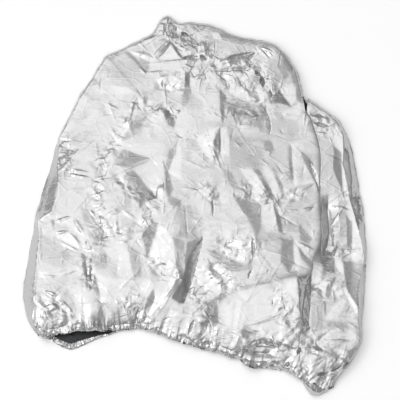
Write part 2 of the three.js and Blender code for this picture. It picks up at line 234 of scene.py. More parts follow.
def two_drifts(x, v, slow, quick, share, seed):
    """A slow drift with a share of a quicker one on it."""
    return drift(x, v, slow, seed) + share * drift(x, v, quick, seed + 1)


def section(v, column):
    """A column of the sections table at places up the chart, eased from row to row."""
    rows = np.array(SECTIONS, float)
    above = np.clip(np.searchsorted(rows[:, 0], v), 1, len(rows) - 1)
    low, high = rows[above - 1], rows[above]
    ease = smoothstep(v, low[..., 0], high[..., 0])
    return low[..., column] + (high[..., column] - low[..., column]) * ease


from_hem = np.linspace(0, 1, ROWS + 1) ** HEM_CROWDING
coarse = np.linspace(0, 1, OUTLINE_STEPS + 1)
left_rim = along(LEFT_EDGE, coarse)
roof_rim = along(ROOF_EDGE, coarse)
right_rim = along(RIGHT_EDGE, coarse)
rim_line = np.vstack([left_rim, roof_rim, right_rim[::-1]])
right_of_front = along(RIGHT_HEM, coarse)
right_of_front = right_of_front[right_of_front[:, 0] > FRONT_HEM[-1][0]]
hem_line = np.vstack([along(LEFT_HEM, coarse), along(FRONT_HEM, coarse), right_of_front])
pleat_line = along(PLEAT_EDGE, coarse)

SLACK = 1.1  # of the height of the crest, where no fold draws the cloth down
SIDE_SHARE = 0.3  # of the height that the steep side takes, the rest being a gentle slope inside it
SIDES = [  # x, v on the outline, width of the steep side there
    (-784, -658, 30), (-845, -480, 50), (-835, -300, 45), (-815, -180, 36), (-800, -90, 14),
    (-785, -40, 70), (-755, 60, 80), (-715, 210, 30), (-690, 320, 8), (-592, 510, 7), (-463, 718, 7),
    (-278, 820, 8), (-150, 948, 7), (58, 898, 7), (428, 766, 7), (540, 530, 9), (566, 516, 9),
    (678, 440, 8), (750, 355, 12), (795, 202, 58), (822, 30, 54), (845, -190, 20), (852, -278, 10),
    (838, -458, 36), (826, -640, 12), (717, -855, 8), (672, -913, 8),
]
HEM_SIDE = 140  # width of the steep side along the hem
HEM_SWEEP = [  # the hem without its small bends
    (-784, -658), (-620, -648), (-262, -630), (-68, -695), (202, -775), (462, -850), (640, -930),
]
SLOPE_REACH = 4.8  # of the width of the shoulder
SLOPE_BEND = 1.2  # more than 1 for a slope that flattens towards the crest
sides = np.array(SIDES, float)
_, side_places = nearest(sides[:, 0], sides[:, 1], rim_line)


def bag_height(x, v):
    """Height in mm of the smooth cloth of the bag above the floor."""
    from_the_hem, _ = nearest(x, v, hem_line)
    from_the_sweep, _ = nearest(x, v, HEM_SWEEP)
    from_the_rim, on_the_rim = nearest(x, v, rim_line)
    inside = np.minimum(from_the_sweep, from_the_rim)
    side_width = np.interp(on_the_rim, side_places, sides[:, 2])
    up_side = np.clip(np.minimum(from_the_rim / side_width, from_the_sweep / HEM_SIDE), 0, 1)
    folds = np.zeros(np.shape(x))
    for x1, v1, x2, v2, half, rise in FOLDS:
        length = math.hypot(x2 - x1, v2 - v1)
        east, north = x - (x1 + x2) / 2, v - (v1 + v2) / 2
        on = (east * (x2 - x1) + north * (v2 - v1)) / length
        across = np.abs(north * (x2 - x1) - east * (v2 - v1)) / length
        reach = length / 2 + half * FOLD_RUN_OUT
        side = np.clip(1 - across / half, 0, 1)
        folds += FOLD_SHARE * rise * side * np.clip(1 - (on / reach) ** 2, 0, 1)
    lift = sum(rise * soft_fold(np.abs(x - at) / half) for at, half, rise in MOUTHS)
    low = EDGE_HEIGHT + lift * soft_fold(from_the_hem / MOUTH_REACH)
    slope = 1 - (1 - np.clip(inside / (SLOPE_REACH * section(v, 2)), 0, 1)) ** SLOPE_BEND
    share = SIDE_SHARE * up_side + (1 - SIDE_SHARE) * slope
    return low + (SLACK * section(v, 1) - EDGE_HEIGHT + folds) * share


def pleat_open(v):
    """How open the deep pleat is at a place up the chart, from 0 to 1."""
    return smoothstep(v, PLEAT_SHUT, PLEAT_OPEN) * (1 - smoothstep(v, PLEAT_FULL, PLEAT_TOP))


def front_height(x, v):
    away, _ = nearest(x, v, pleat_line)
    return bag_height(x, v) - PLEAT_DROP * (1 - shoulder(away / PLEAT_ROUND))


def right_height(x, v):
    edge = np.interp(v, pleat_line[:, 1], pleat_line[:, 0])
    away = np.where(x > edge, nearest(x, v, pleat_line)[0], 0)
    across = np.interp(away, [0, PLEAT_WIDTH, PLEAT_WIDTH + PLEAT_BANK], [0, 1, 0])
    fold = PLEAT_DEPTH * pleat_open(v) * across
    lap_drop = np.interp(v, *np.transpose(LAP_DROPS))
    from_the_rim, _ = nearest(x, v, rim_line)
    drop = (lap_drop + fold) * smoothstep(from_the_rim, 0, RIM_WIDTH)
    return np.maximum(bag_height(x, v) - drop, EDGE_HEIGHT)


def fill(bottom, top, left, right, across, up):
    """A panel's chart between its four edges: rows from the hem, columns from the left."""
    u, t = across[None, :, None], up[:, None, None]
    rows = bottom[None] * (1 - t) + top[None] * t
    columns = left[:, None] * (1 - u) + right[:, None] * u
    low = bottom[0] * (1 - u) + bottom[-1] * u
    high = top[0] * (1 - u) + top[-1] * u
    return rows + columns - low * (1 - t) - high * t


# The creases and facets are charted on squared paper, in squares of 5 mm, counted to the right and
# down from its top left corner.
SQUARE = 5  # mm
PAPER_LEFT, PAPER_TOP = -977.5, 1010
FACETS = [  # the way the facet faces in degrees, its slope, its corners
    # peak and roof
    (60, 0.08, [(104, 57), (122, 51), (134, 58), (146, 72), (136, 86), (92, 84)]),
    (250, 0.28, [(112, 85.5), (126, 87), (136, 92), (116, 93)]),
    (250, 0.12, [(92, 86), (112, 85), (116, 93), (98, 92)]),
    (250, 0.30, [(121, 49), (150, 37), (165, 34), (160, 38), (135, 46)]),
    (100, 0.15, [(106, 54), (121, 48), (155, 32), (150, 37), (121, 49.5)]),
    (30, 0.35, [(173, 38), (168, 41), (154, 56), (157, 57)]),
    (210, 0.25, [(166, 41), (163, 42), (151, 54), (154, 56)]),
    (240, 0.30, [(170, 44), (180, 57), (158, 57)]),
    (30, 0.50, [(171, 42), (173, 41), (182, 55), (180, 57)]),
    (60, 0.10, [(176, 40), (196, 47), (199, 52), (182, 54)]),
    (240, 0.30, [(182, 50), (195, 49), (197, 52), (184, 54)]),
    (30, 0.30, [(122, 50), (128, 50), (138, 60), (147, 71), (143, 70), (132, 59)]),
    (240, 0.20, [(128, 50), (155, 56), (150, 60), (140, 58)]),
    (20, 0.18, [(137, 55), (150, 60), (147, 72), (140, 64)]),
    (250, 0.12, [(150, 62), (190, 58), (185, 66), (150, 70)]),
    (240, 0.35, [(211, 31), (218, 31), (222, 38), (214, 37)]),
    (60, 0.45, [(220, 58), (245, 54), (257, 49), (248, 56), (232, 60)]),
    (240, 0.40, [(250, 54), (258, 48.5), (262, 50), (252, 58)]),
    (250, 0.30, [(217, 64), (246, 61), (250, 66), (217, 68)]),
    (230, 0.30, [(262, 48), (272, 47), (278, 52), (272, 57)]),
    (20, 0.15, [(280, 58), (290, 58), (296, 70), (285, 78), (278, 66)]),
    # upper field
    (230, 0.30, [(156, 78), (170, 74), (181, 77), (183, 86), (172, 90), (158, 84)]),
    (0, 0.50, [(185, 70), (190, 70), (189, 86), (184, 87)]),
    (200, 0.20, [(180, 72), (185, 70), (184, 87), (180, 86)]),
    (20, 0.20, [(184, 88), (191, 88), (188, 102), (181, 106)]),
    (200, 0.10, [(190, 67), (207, 70), (204, 78), (191, 80)]),
    (10, 0.30, [(135, 97), (137, 98), (132, 116), (129, 115)]),
    (10, 0.30, [(163, 112), (170, 108), (175, 116), (173, 128), (166, 122)]),
    (220, 0.10, [(176, 116), (182, 110), (205, 108), (199, 126), (197, 136), (184, 138), (175, 130)]),
    (200, 0.12, [(190, 72), (217, 78), (221, 120), (204, 122), (203, 100), (192, 92)]),
    (225, 0.30, [(222, 70), (240, 70), (252, 86), (238, 88), (226, 80)]),
    (240, 0.30, [(228, 86), (262, 88), (270, 97), (264, 103), (240, 97), (228, 90)]),
    (20, 0.40, [(220, 88), (227, 95), (224, 110), (223, 124), (221, 120)]),
    (40, 0.18, [(223, 100), (265, 105), (268, 112), (262, 128), (240, 122), (225, 108)]),
    (50, 0.45, [(280, 88), (292, 106), (280, 103), (268, 103)]),
    (215, 0.20, [(281, 82), (297, 84), (297, 98), (293, 105), (283, 90)]),
    (230, 0.20, [(282, 112), (290, 108), (300, 102), (303, 110), (296, 120), (285, 118)]),
    (200, 0.06, [(302, 108), (312, 125), (321, 155), (300, 150), (293, 140), (297, 125)]),
    (250, 0.25, [(238, 124), (256, 129), (265, 133), (240, 131)]),
    (230, 0.20, [(244, 140), (256, 141), (262, 150), (255, 154), (246, 148)]),
    (30, 0.25, [(262, 140), (272, 141), (275, 150), (266, 152)]),
    (215, 0.35, [(221, 125), (215, 132), (213, 160), (206, 155), (196, 138), (208, 131)]),
    (20, 0.35, [(220, 128), (221, 150), (214, 160), (213, 142)]),
    (210, 0.22, [(221, 128), (227, 126), (229, 154), (221, 156)]),
    (45, 0.10, [(229, 135), (262, 138), (265, 165), (230, 170)]),
    # upper left
    (30, 0.28, [(121, 139), (131, 121), (147, 116), (140, 128), (133, 136), (122, 142)]),
    (220, 0.30, [(118, 138), (121, 128), (131, 119), (131, 122), (122, 138)]),
    (250, 0.35, [(124, 146), (150, 142.5), (164, 143), (150, 146)]),
    (240, 0.07, [(126, 147), (163, 144), (168, 152), (160, 163), (150, 157)]),
    (60, 0.35, [(112, 165), (123, 148), (150, 158), (128, 168)]),
    (290, 0.35, [(109, 178), (146, 159), (150, 161), (126, 171), (112, 179)]),
    (250, 0.40, [(154, 160), (163, 164), (159, 166), (154, 164)]),
    (230, 0.08, [(142, 168), (152, 164), (166, 166), (168, 180), (160, 188), (152, 190)]),
    (40, 0.35, [
        (126, 173), (133, 170), (147, 186), (157, 198), (150, 200), (140, 208), (132, 196), (124, 180),
    ]),
    (220, 0.18, [(179, 142), (182, 160), (180, 178), (169, 171)]),
    (10, 0.30, [(178, 141), (169, 171), (166, 164), (168, 152)]),
    (0, 0.30, [(163, 160), (168, 170), (173, 190), (168, 196), (165, 180)]),
    (240, 0.45, [(170, 170), (180, 176), (180, 179), (168, 172)]),
    (20, 0.30, [(167, 190), (172, 197), (182, 200), (181, 206), (173, 207), (167, 200)]),
    # left side
    (100, 0.40, [(28, 240), (37, 236), (38, 270), (37, 298), (26, 298), (25, 285)]),
    (110, 0.40, [(57, 141), (64, 150), (80, 148), (62, 170), (56, 195), (53, 212), (40, 217), (47, 180)]),
    (260, 0.30, [(38, 217), (56, 212), (60, 216), (42, 222)]),
    (20, 0.30, [(50, 219), (55, 220), (54, 232)]),
    (215, 0.20, [(54, 222), (66, 217), (76, 219), (88, 236), (94, 252), (86, 250), (76, 232), (66, 224)]),
    (230, 0.25, [(55, 232), (68, 232), (84, 248), (70, 246), (58, 238)]),
    (30, 0.14, [(80, 206), (92, 212), (100, 240), (95, 250), (88, 232)]),
    (60, 0.12, [(40, 233), (58, 244), (80, 252), (92, 258), (84, 266), (60, 268), (42, 262)]),
    (250, 0.25, [(40, 273), (60, 270), (78, 265), (80, 270), (60, 275), (40, 277)]),
    (20, 0.30, [(82, 252), (92, 258), (94, 285), (88, 292), (84, 275)]),
    (40, 0.22, [(94, 256), (107, 252), (108, 268), (96, 270)]),
    (225, 0.15, [(68, 285), (80, 282), (86, 300), (76, 305)]),
    (215, 0.40, [(36, 301), (42, 303), (51, 318), (42, 319)]),
    (30, 0.35, [(30, 296), (44, 300), (58, 320), (52, 318), (44, 306)]),
    (220, 0.35, [(47, 302), (58, 303), (65, 310), (52, 312)]),
    (40, 0.50, [(47, 299), (58, 303), (70, 313), (62, 311), (52, 302)]),
    (220, 0.30, [(43, 289), (58, 294), (66, 302), (58, 300)]),
    (220, 0.35, [(84, 305), (98, 302), (96, 312), (86, 318)]),
    (45, 0.40, [(82, 321), (91, 319), (90, 327), (83, 327)]),
    # lower left
    (240, 0.20, [(104, 248), (120, 245), (134, 256), (128, 262), (112, 258)]),
    (225, 0.15, [(116, 262), (132, 262), (133, 276), (120, 277)]),
    (30, 0.20, [(128, 244), (140, 252), (142, 276), (134, 278), (130, 262)]),
    (210, 0.22, [(97, 273), (106, 277), (134, 280), (122, 305), (112, 318), (104, 308)]),
    (30, 0.20, [(95, 272), (100, 290), (100, 300), (93, 285)]),
    (45, 0.50, [(102, 306), (108, 324), (96, 326), (97, 314)]),
    (250, 0.30, [(105, 218), (112, 212), (124, 211), (138, 219), (124, 215), (112, 216)]),
    (20, 0.30, [(159, 222), (147, 257), (142, 234), (150, 224)]),
    (210, 0.28, [(160, 223), (172, 238), (170, 250), (160, 275), (147, 262)]),
    (220, 0.20, [(172, 238), (176, 262), (168, 270), (164, 262)]),
    (215, 0.35, [(176, 268), (180, 276), (166, 303), (155, 318), (160, 300), (166, 285)]),
    (20, 0.50, [(154, 288), (156, 300), (145, 318), (142, 319), (147, 298)]),
    (210, 0.30, [(156, 295), (162, 300), (152, 318), (147, 319)]),
    (225, 0.25, [(140, 280), (150, 278), (154, 287), (146, 297), (140, 292)]),
    # the deep fold
    (20, 0.22, [(173, 237), (185, 240), (184, 255), (182, 272), (178, 276), (176, 264), (177, 255)]),
    (10, 0.38, [(187, 242), (203, 236), (199, 250), (191, 262), (186, 268), (184, 262)]),
    (0, 0.75, [
        (199, 250), (194, 260), (190, 270), (188, 280), (184, 302), (179, 302), (172, 297), (186, 270),
    ]),
    (15, 0.40, [(178, 276), (184, 272), (180, 283), (171, 296), (167, 296)]),
    (20, 0.15, [(180, 205), (195, 205), (204, 225), (200, 240), (175, 236), (172, 215)]),
    # middle and right
    (20, 0.30, [(211, 200), (217, 203), (214, 216)]),
    (220, 0.08, [(205, 225), (216, 212), (228, 193), (245, 215), (250, 238), (204, 240)]),
    (30, 0.25, [(230, 192), (242, 198), (262, 205), (260, 228), (256, 240), (248, 220)]),
    (225, 0.30, [(220, 241), (236, 238), (252, 240), (252, 257), (238, 260), (226, 255)]),
    (60, 0.25, [(205, 248), (226, 256), (240, 262), (252, 259), (252, 270), (232, 272), (215, 262)]),
    (245, 0.35, [(216, 272), (232, 273), (252, 269), (250, 275), (244, 284), (232, 284)]),
    (225, 0.15, [(196, 266), (214, 264), (230, 282), (214, 292), (198, 282)]),
    (215, 0.15, [(261, 203), (272, 204), (278, 228), (266, 232), (261, 220)]),
    (20, 0.40, [(273, 203), (280, 215), (282, 232), (278, 232)]),
    (30, 0.28, [(281, 238), (293, 240), (294, 262), (288, 272), (280, 262)]),
    (200, 0.15, [(293, 240), (297, 242), (299, 268), (294, 276)]),
    (40, 0.25, [(297, 222), (312, 238), (308, 244), (300, 240)]),
    (30, 0.30, [(299, 246), (313, 264), (310, 268), (300, 258)]),
    (215, 0.20, [(240, 168), (252, 170), (263, 185), (265, 198), (255, 190)]),
    (30, 0.25, [(252, 168), (260, 170), (272, 195), (266, 198), (262, 182)]),
    (215, 0.20, [(262, 165), (270, 168), (282, 198), (274, 198)]),
    (30, 0.20, [(272, 166), (280, 180), (286, 198), (282, 198)]),
    (45, 0.20, [(222, 168), (232, 172), (240, 190), (232, 188), (225, 178)]),
    (0, 0.25, [(289, 145), (292, 145), (293, 185), (289, 180)]),
    (190, 0.20, [(293, 146), (296, 146), (297, 184), (294, 185)]),
    (210, 0.12, [(290, 142), (294, 140), (318, 190), (306, 186)]),
    (40, 0.25, [(300, 150), (310, 158), (318, 188), (308, 170)]),
    (20, 0.60, [(309, 160), (313, 162), (321, 188), (318, 192)]),
    (225, 0.30, [(286, 189), (297, 198), (283, 198)]),
    # lower right
    (60, 0.30, [
        (211, 300), (232, 288), (262, 280), (296, 270), (296, 277), (262, 284), (234, 292), (214, 303),
    ]),
    (240, 0.25, [(238, 292), (262, 285), (294, 280), (296, 296), (290, 308), (262, 306), (245, 298)]),
    (225, 0.15, [(245, 300), (282, 309), (272, 318), (246, 325), (238, 330), (241, 310)]),
    (200, 0.22, [(236, 296), (241, 300), (236, 332), (231, 334)]),
    (210, 0.18, [(224, 306), (232, 300), (230, 330), (224, 333)]),
    (50, 0.50, [(224, 332), (226, 330), (233, 334), (232, 338)]),
    (30, 0.40, [(206, 300), (217, 302), (218, 320), (210, 332), (205, 322)]),
    (60, 0.50, [(240, 331), (260, 328), (252, 335), (243, 338)]),
    (240, 0.25, [(246, 327), (280, 314), (284, 312), (268, 326), (262, 330)]),
    (220, 0.20, [(262, 335), (285, 322), (296, 335), (280, 345), (268, 345)]),
    (70, 0.50, [(241, 350), (262, 352), (284, 350), (284, 357), (262, 358), (246, 356)]),
    (215, 0.30, [(283, 282), (295, 280), (295, 298), (288, 296)]),
    (10, 0.85, [(296, 277), (311, 273), (310, 300), (308, 328), (302, 331), (298, 305)]),
    # right end
    (10, 0.45, [(323, 196), (327, 212), (332, 257), (321, 257), (320, 225)]),
    (40, 0.35, [(311, 114), (318, 113), (330, 117), (331, 124), (314, 121)]),
    (10, 0.40, [(334, 146), (342, 152), (343, 190), (337, 178), (333, 168)]),
    (200, 0.25, [(343, 150), (347, 150), (350, 195), (345, 195)]),
    (350, 0.50, [(348, 148), (353, 155), (360, 195), (352, 198)]),
    (20, 0.12, [(311, 276), (322, 292), (322, 328), (311, 330)]),
    (20, 0.10, [(327, 203), (346, 212), (346, 236), (336, 250), (331, 235)]),
    (0, 0.40, [(346, 215), (352, 222), (352, 250), (347, 245)]),
    (200, 0.20, [(355, 203), (364, 225), (366, 250), (356, 245)]),
    (20, 0.40, [(343, 262), (365, 259), (362, 300), (358, 318), (345, 290)]),
    (45, 0.40, [(321, 258), (334, 257), (334, 272), (322, 275)]),
    (230, 0.40, [(334, 257), (340, 256), (343, 275), (338, 270)]),
    (215, 0.40, [(342, 290), (346, 292), (359, 312), (358, 318)]),
    (220, 0.25, [(340, 298), (345, 300), (336, 318), (324, 318), (332, 306)]),
    (20, 0.40, [(323, 300), (326, 300), (325, 316)]),
    (230, 0.40, [(333, 290), (340, 287), (342, 294), (336, 296)]),
    (60, 0.15, [(324, 320), (356, 322), (356, 328), (326, 326)]),
    (245, 0.25, [(322, 328), (350, 330), (357, 337), (324, 338)]),
    (330, 0.40, [(345, 350), (358, 343), (346, 362), (338, 372)]),
    (240, 0.40, [(325, 374), (339, 365), (341, 368), (332, 376)]),
]
# Sharp creases between the facets. Each is a ridge, or a valley where its rise is below nothing: left and
# right say how far it runs out to either side, seen when walking from 1 to 2, in mm.
CREASES = [  # x1, v1, x2, v2, left, right, rise
    # peak and roof
    (-328, 758, -200, 725, 20, 10, 4), (-228, 700, -38, 718, 12, 8, 3.5),
    (-248, 650, -160, 665, 10, 7, 4), (-278, 680, -248, 646, 7, 10, 4),
    (-198, 725, -118, 810, 12, 10, 6), (-218, 735, -138, 815, 8, 8, 5),
    (-150, 910, -158, 858, 8, 8, -12), (-108, 900, -98, 868, 8, 8, -10),
    (-190, 895, -205, 870, 8, 8, -8), (-178, 845, -88, 825, 10, 12, 5),
    (-75, 860, -30, 838, 12, 12, -22), (-30, 838, 22, 785, 8, 8, -12), (-78, 725, 18, 745, 8, 10, -18),
    (18, 745, 60, 722, 10, 10, -18), (117, 715, 307, 765, 10, 16, -12), (132, 695, 252, 710, 8, 8, -6),
    (82, 665, 297, 675, 12, 8, -7), (322, 775, 372, 725, 8, 10, 5), (330, 778, 400, 750, 8, 8, 5),
    (350, 770, 395, 730, 6, 8, 5), (307, 760, 262, 722, 8, 10, -10), (262, 722, 277, 682, 8, 10, -10),
    (302, 668, 332, 640, 10, 12, -20), (332, 642, 340, 582, 14, 12, -24),
    (372, 568, 388, 532, 8, 8, -14),
    # upper field and left
    (-138, 490, -108, 440, 6, 6, 4), (-78, 470, -103, 440, 6, 6, 4), (-103, 440, -103, 415, 6, 6, 4),
    (-103, 345, -53, 320, 8, 8, -3), (-53, 320, -3, 325, 8, 8, -3), (377, 335, 357, 470, 10, 10, -14),
    (-308, 525, -328, 435, 8, 10, 3), (-478, 510, -378, 460, 8, 8, 2.5), (-78, 75, 22, 62, 8, 8, 3),
    (-690, 315, -615, 308, 10, 12, -6), (-678, 165, -528, 145, 14, 14, 5),
    (-648, 140, -520, 120, 8, 10, 5), (-528, -35, -498, -75, 8, 8, 5),
    (-708, -100, -618, -72, 10, 14, 5), (-618, -72, -548, -175, 14, 14, 6),
    (-548, -175, -518, -250, 12, 12, 5), (-703, -155, -638, -145, 8, 12, 4),
    (-638, -145, -568, -235, 12, 12, 4), (-688, -190, -578, -245, 8, 10, 4),
    (-788, -370, -678, -368, 8, 10, 4), (-678, -368, -588, -335, 10, 10, 4),
    (-548, -275, -533, -410, 12, 12, -8), (-523, -335, -513, -405, 10, 10, -8),
    (-763, -440, -678, -465, 8, 10, 5), (-678, -465, -603, -565, 10, 12, 5),
    # lower left and the deep fold
    (-443, -65, -368, -45, 8, 12, 4), (-368, -45, -288, -90, 10, 12, 4),
    (-303, -615, -278, -515, 10, 10, -8), (-58, -500, 37, -170, 40, 8, -30),
    # middle and right
    (87, -75, 92, 20, 10, 10, -5), (287, -290, 285, -165, 10, 12, -8),
    (262, -385, 287, -330, 10, 10, -6), (312, -5, 390, 5, 16, 8, -4), (452, -40, 522, -45, 8, 8, 3),
    (522, -45, 597, -25, 8, 10, 5), (502, -195, 597, -245, 10, 14, 5),
    (622, 60, 577, 205, 12, 12, -14), (507, 50, 602, 95, 10, 12, 5), (-38, -660, -3, -580, 10, 10, -9),
    (237, -615, 432, -545, 12, 14, 5), (222, -740, 447, -765, 14, 14, -9),
    (237, -715, 372, -725, 12, 12, -7), (502, -755, 517, -720, 10, 10, -20),
    (447, -810, 465, -790, 10, 12, -16),
    # right end
    (662, -15, 787, -45, 8, 9, 4.5), (645, -350, 697, -348, 8, 8, 4), (627, -680, 787, -688, 8, 12, 5),
    (597, -852, 660, -842, 10, 10, -18), (660, -842, 740, -790, 10, 10, -18),
    (587, 397, 677, 375, 8, 10, -16), (602, 365, 682, 360, 8, 8, 4), (602, 345, 660, 345, 8, 8, 4),
]
CRUMPLED = [  # x1, v1, x2, v2, half width of the places where the cloth is finely crumpled
    (-328, 420, -463, 220, 35), (-463, 220, -483, 10, 35), (-483, 10, -458, -190, 40),
    (-458, -100, -368, -170, 45), (-538, -240, -528, -415, 35), (-378, 110, -303, 35, 40),
    (-178, 70, -268, -140, 45), (-228, -300, -88, -365, 45), (-328, -490, -278, -565, 45),
    (-153, 935, -128, 835, 50), (-78, 835, 97, 710, 50), (97, 710, 322, 685, 45),
    (332, 635, 397, 560, 40), (-28, 670, 47, 635, 45), (-178, 610, -78, 590, 40),
    (147, 635, 322, 535, 55), (247, 60, 382, 10, 50), (382, 10, 522, 35, 30),
    (147, -215, 272, -240, 60), (82, -330, 172, -405, 50), (-3, -440, 72, -640, 60),
    (422, -490, 497, -640, 55), (272, -690, 447, -715, 60), (597, -415, 697, -440, 50),
    (772, 35, 822, -15, 40), (697, -240, 772, -250, 45), (547, -715, 722, -790, 70),
    (597, 420, 672, 360, 40), (722, 385, 760, 360, 40), (-678, 310, -638, 170, 45),
    (-753, -490, -603, -615, 50), (-278, 500, -153, 460, 40), (72, 310, 97, 235, 40),
    (47, 60, 97, 35, 45),
]
PIXEL = 2  # mm
CHART_LEFT, CHART_RIGHT, CHART_LOW, CHART_HIGH = -1000, 1000, -1080, 1040
chart_x, chart_v = np.meshgrid(
    np.arange(CHART_LEFT, CHART_RIGHT + 1, PIXEL, dtype=float),
    np.arange(CHART_LOW, CHART_HIGH + 1, PIXEL, dtype=float),
)


def patch_of(x1, v1, x2, v2, reach):
    """The part of the chart within reach of a line."""
    rows, columns = chart_x.shape
    i0 = max(0, int((min(x1, x2) - reach - CHART_LEFT) / PIXEL))
    i1 = min(columns, int((max(x1, x2) + reach - CHART_LEFT) / PIXEL) + 2)
    j0 = max(0, int((min(v1, v2) - reach - CHART_LOW) / PIXEL))
    j1 = min(rows, int((max(v1, v2) + reach - CHART_LOW) / PIXEL) + 2)
    return slice(j0, j1), slice(i0, i1)


def press_crease(chart, x1, v1, x2, v2, left, right, rise):
    """Adds one crease with its two flat facets, which run out to a point at both ends."""
    length = math.hypot(x2 - x1, v2 - v1)
    patch = patch_of(x1, v1, x2, v2, max(left, right))
    x, v = chart_x[patch] - x1, chart_v[patch] - v1
    share = (x * (x2 - x1) + v * (v2 - v1)) / length**2
    side = (x * (v2 - v1) - v * (x2 - x1)) / length
    across = np.where(side > 0, side / right, -side / left)
    ends = np.clip(3 * np.minimum(share, 1 - share), 0, 1)
    chart[patch] += rise * np.clip(ends - across, 0, None)


def soften(chart, radius):
    """A soft blur, because no crease in cloth is a knife's edge."""
    reach = int(math.ceil(3 * radius / PIXEL))
    weight = np.exp(-0.5 * (np.arange(-reach, reach + 1) * PIXEL / radius) ** 2)
    weight /= weight.sum()
    for axis in (0, 1):
        padded = np.pad(chart, [(reach, reach) if k == axis else (0, 0) for k in (0, 1)], mode="edge")
        count = chart.shape[axis]
        chart = sum(w * np.take(padded, range(k, k + count), axis=axis) for k, w in enumerate(weight))
    return chart


def read_chart(chart, x, v):
    i = np.clip((np.asarray(x) - CHART_LEFT) / PIXEL, 0, chart.shape[1] - 1.001)
    j = np.clip((np.asarray(v) - CHART_LOW) / PIXEL, 0, chart.shape[0] - 1.001)
    i0, j0 = i.astype(int), j.astype(int)
    s, t = i - i0, j - j0
    low = chart[j0, i0] * (1 - s) + chart[j0, i0 + 1] * s
    high = chart[j0 + 1, i0] * (1 - s) + chart[j0 + 1, i0 + 1] * s
    return low * (1 - t) + high * t


LEAN_SHARE = 0.65  # of the tilt that the mesh leaves out of a facet, which the cloth's shading then shows
SOFTNESS, WIDE_SOFTNESS = 0.7, 12  # mm that creases, and the tilt left out, are softened by
CRISP_SHARE = 0.45  # of the tilt left out that keeps crisp edges
TERRACED = 0.85  # how far calm cloth lies in flat steps up the swell of the bag
STEEP = 0.3  # the steepest slope of that swell that the steps take up
COARSE = 4  # the swell is worked out at one in so many rows and columns of the chart
SWELL = 90  # mm, the widest hollow that facets leave in the cloth
RANDOM_FACETS = [  # size in mm, slope on calm and on crumpled cloth, stretch, turn in degrees, seed
    (95, 0.03, 0.06, 1.5, 60, 61),
    (42, 0.0, 0.26, 1.6, -35, 62),
    (17, 0.0, 0.46, 1.5, 20, 63),
]
HEM_CRUMPLE = 75  # mm of crumpled cloth along the hem
CRUMPLE_REACH = 1.6  # of a crumpled place's half width, where it ends
PATCHES = 0.6  # how crumpled the random patches of the cloth are
PATCH_SPACING, PATCH_FROM, PATCH_TO = 110, 0.6, 1.1
# Random creases, one in each square of cloth: the square's side, the least and most length, side width and
# rise, in mm, the share of them that calm cloth has, and the seed.
RANDOM_CREASES = [
    (72, 60, 210, 5, 10, 0.9, 2.4, 0.2, 64),
    (21, 18, 75, 3, 7, 0.6, 2.2, 0.03, 65),
]


def paint_facet(slopes, faces, slope, corners):
    """Gives the chart inside a facet's corners the slope that it has."""
    outline = [(PAPER_LEFT + SQUARE * i, PAPER_TOP - SQUARE * j) for i, j in corners]
    east, north = np.array(outline).T
    patch = patch_of(east.min(), north.min(), east.max(), north.max(), PIXEL)
    x, v = chart_x[patch], chart_v[patch]
    inside = np.zeros(x.shape, bool)
    for (ax, av), (bx, bv) in zip(outline, outline[1:] + outline[:1]):
        if av != bv:
            crosses = (av > v) != (bv > v)
            inside ^= crosses & (x < ax + (v - av) * (bx - ax) / (bv - av))
    downhill = math.radians(faces)
    slopes[0][patch][inside] = -slope * math.cos(downhill)
    slopes[1][patch][inside] = -slope * math.sin(downhill)


def random_facets(x, v, size, stretch, turn, seed):
    """Random slopes, one for each cell of a net of cells about as wide as size."""
    c, s = math.cos(math.radians(turn)), math.sin(math.radians(turn))
    p, q = (x * c + v * s) / (size * stretch), (v * c - x * s) / size
    count = 512
    choose = np.random.default_rng(seed)
    shift = choose.uniform(0.1, 0.9, (2, count, count))
    slope = choose.uniform(-1, 1, (2, count, count))
    i0, j0 = np.floor(p).astype(int), np.floor(q).astype(int)
    best = np.full(x.shape, np.inf)
    found = np.zeros((2, *x.shape))
    for i in (-1, 0, 1):
        for j in (-1, 0, 1):
            at = (j0 + j) % count, (i0 + i) % count
            away = (i0 + i + shift[0][at] - p) ** 2 + (j0 + j + shift[1][at] - q) ** 2
            nearer = away < best
            best[nearer] = away[nearer]
            for k in (0, 1):
                found[k][nearer] = slope[k][at][nearer]
    return found


def raised(slopes):
    """The heights in mm that come nearest to these slopes, without their widest swells."""
    rows, columns = slopes[0].shape
    step_v = np.exp(2j * math.pi * np.fft.fftfreq(rows))[:, None] - 1
    step_x = np.exp(2j * math.pi * np.fft.rfftfreq(columns))[None, :] - 1
    stiff = np.abs(step_x) ** 2 + np.abs(step_v) ** 2
    pull = np.conj(step_x) * np.fft.rfft2(slopes[0]) + np.conj(step_v) * np.fft.rfft2(slopes[1])
    return np.fft.irfft2(pull / (stiff + (PIXEL / SWELL) ** 2), slopes[0].shape) * PIXEL


def scatter(chart, square, shortest, longest, narrow, wide, least, most, calm, seed):
    """Adds small random creases, fewer of them on calm cloth."""
    choose = np.random.default_rng(seed)
    for v in np.arange(CHART_LOW + 60, CHART_HIGH - 60, square):
        for x in np.arange(CHART_LEFT + 60, CHART_RIGHT - 60, square):
            at_x, at_v = (x, v) + choose.uniform(0, square, 2)
            half, turn = choose.uniform(shortest, longest) / 2, choose.uniform(0, math.pi)
            left, right = choose.uniform(narrow, wide, 2)
            rise = choose.uniform(least, most) * choose.choice([-1, 1])
            if choose.random() < calm + (1 - calm) * read_chart(crumpled, at_x, at_v):
                east, north = half * math.cos(turn), half * math.sin(turn)
                press_crease(chart, at_x - east, at_v - north, at_x + east, at_v + north, left, right, rise)


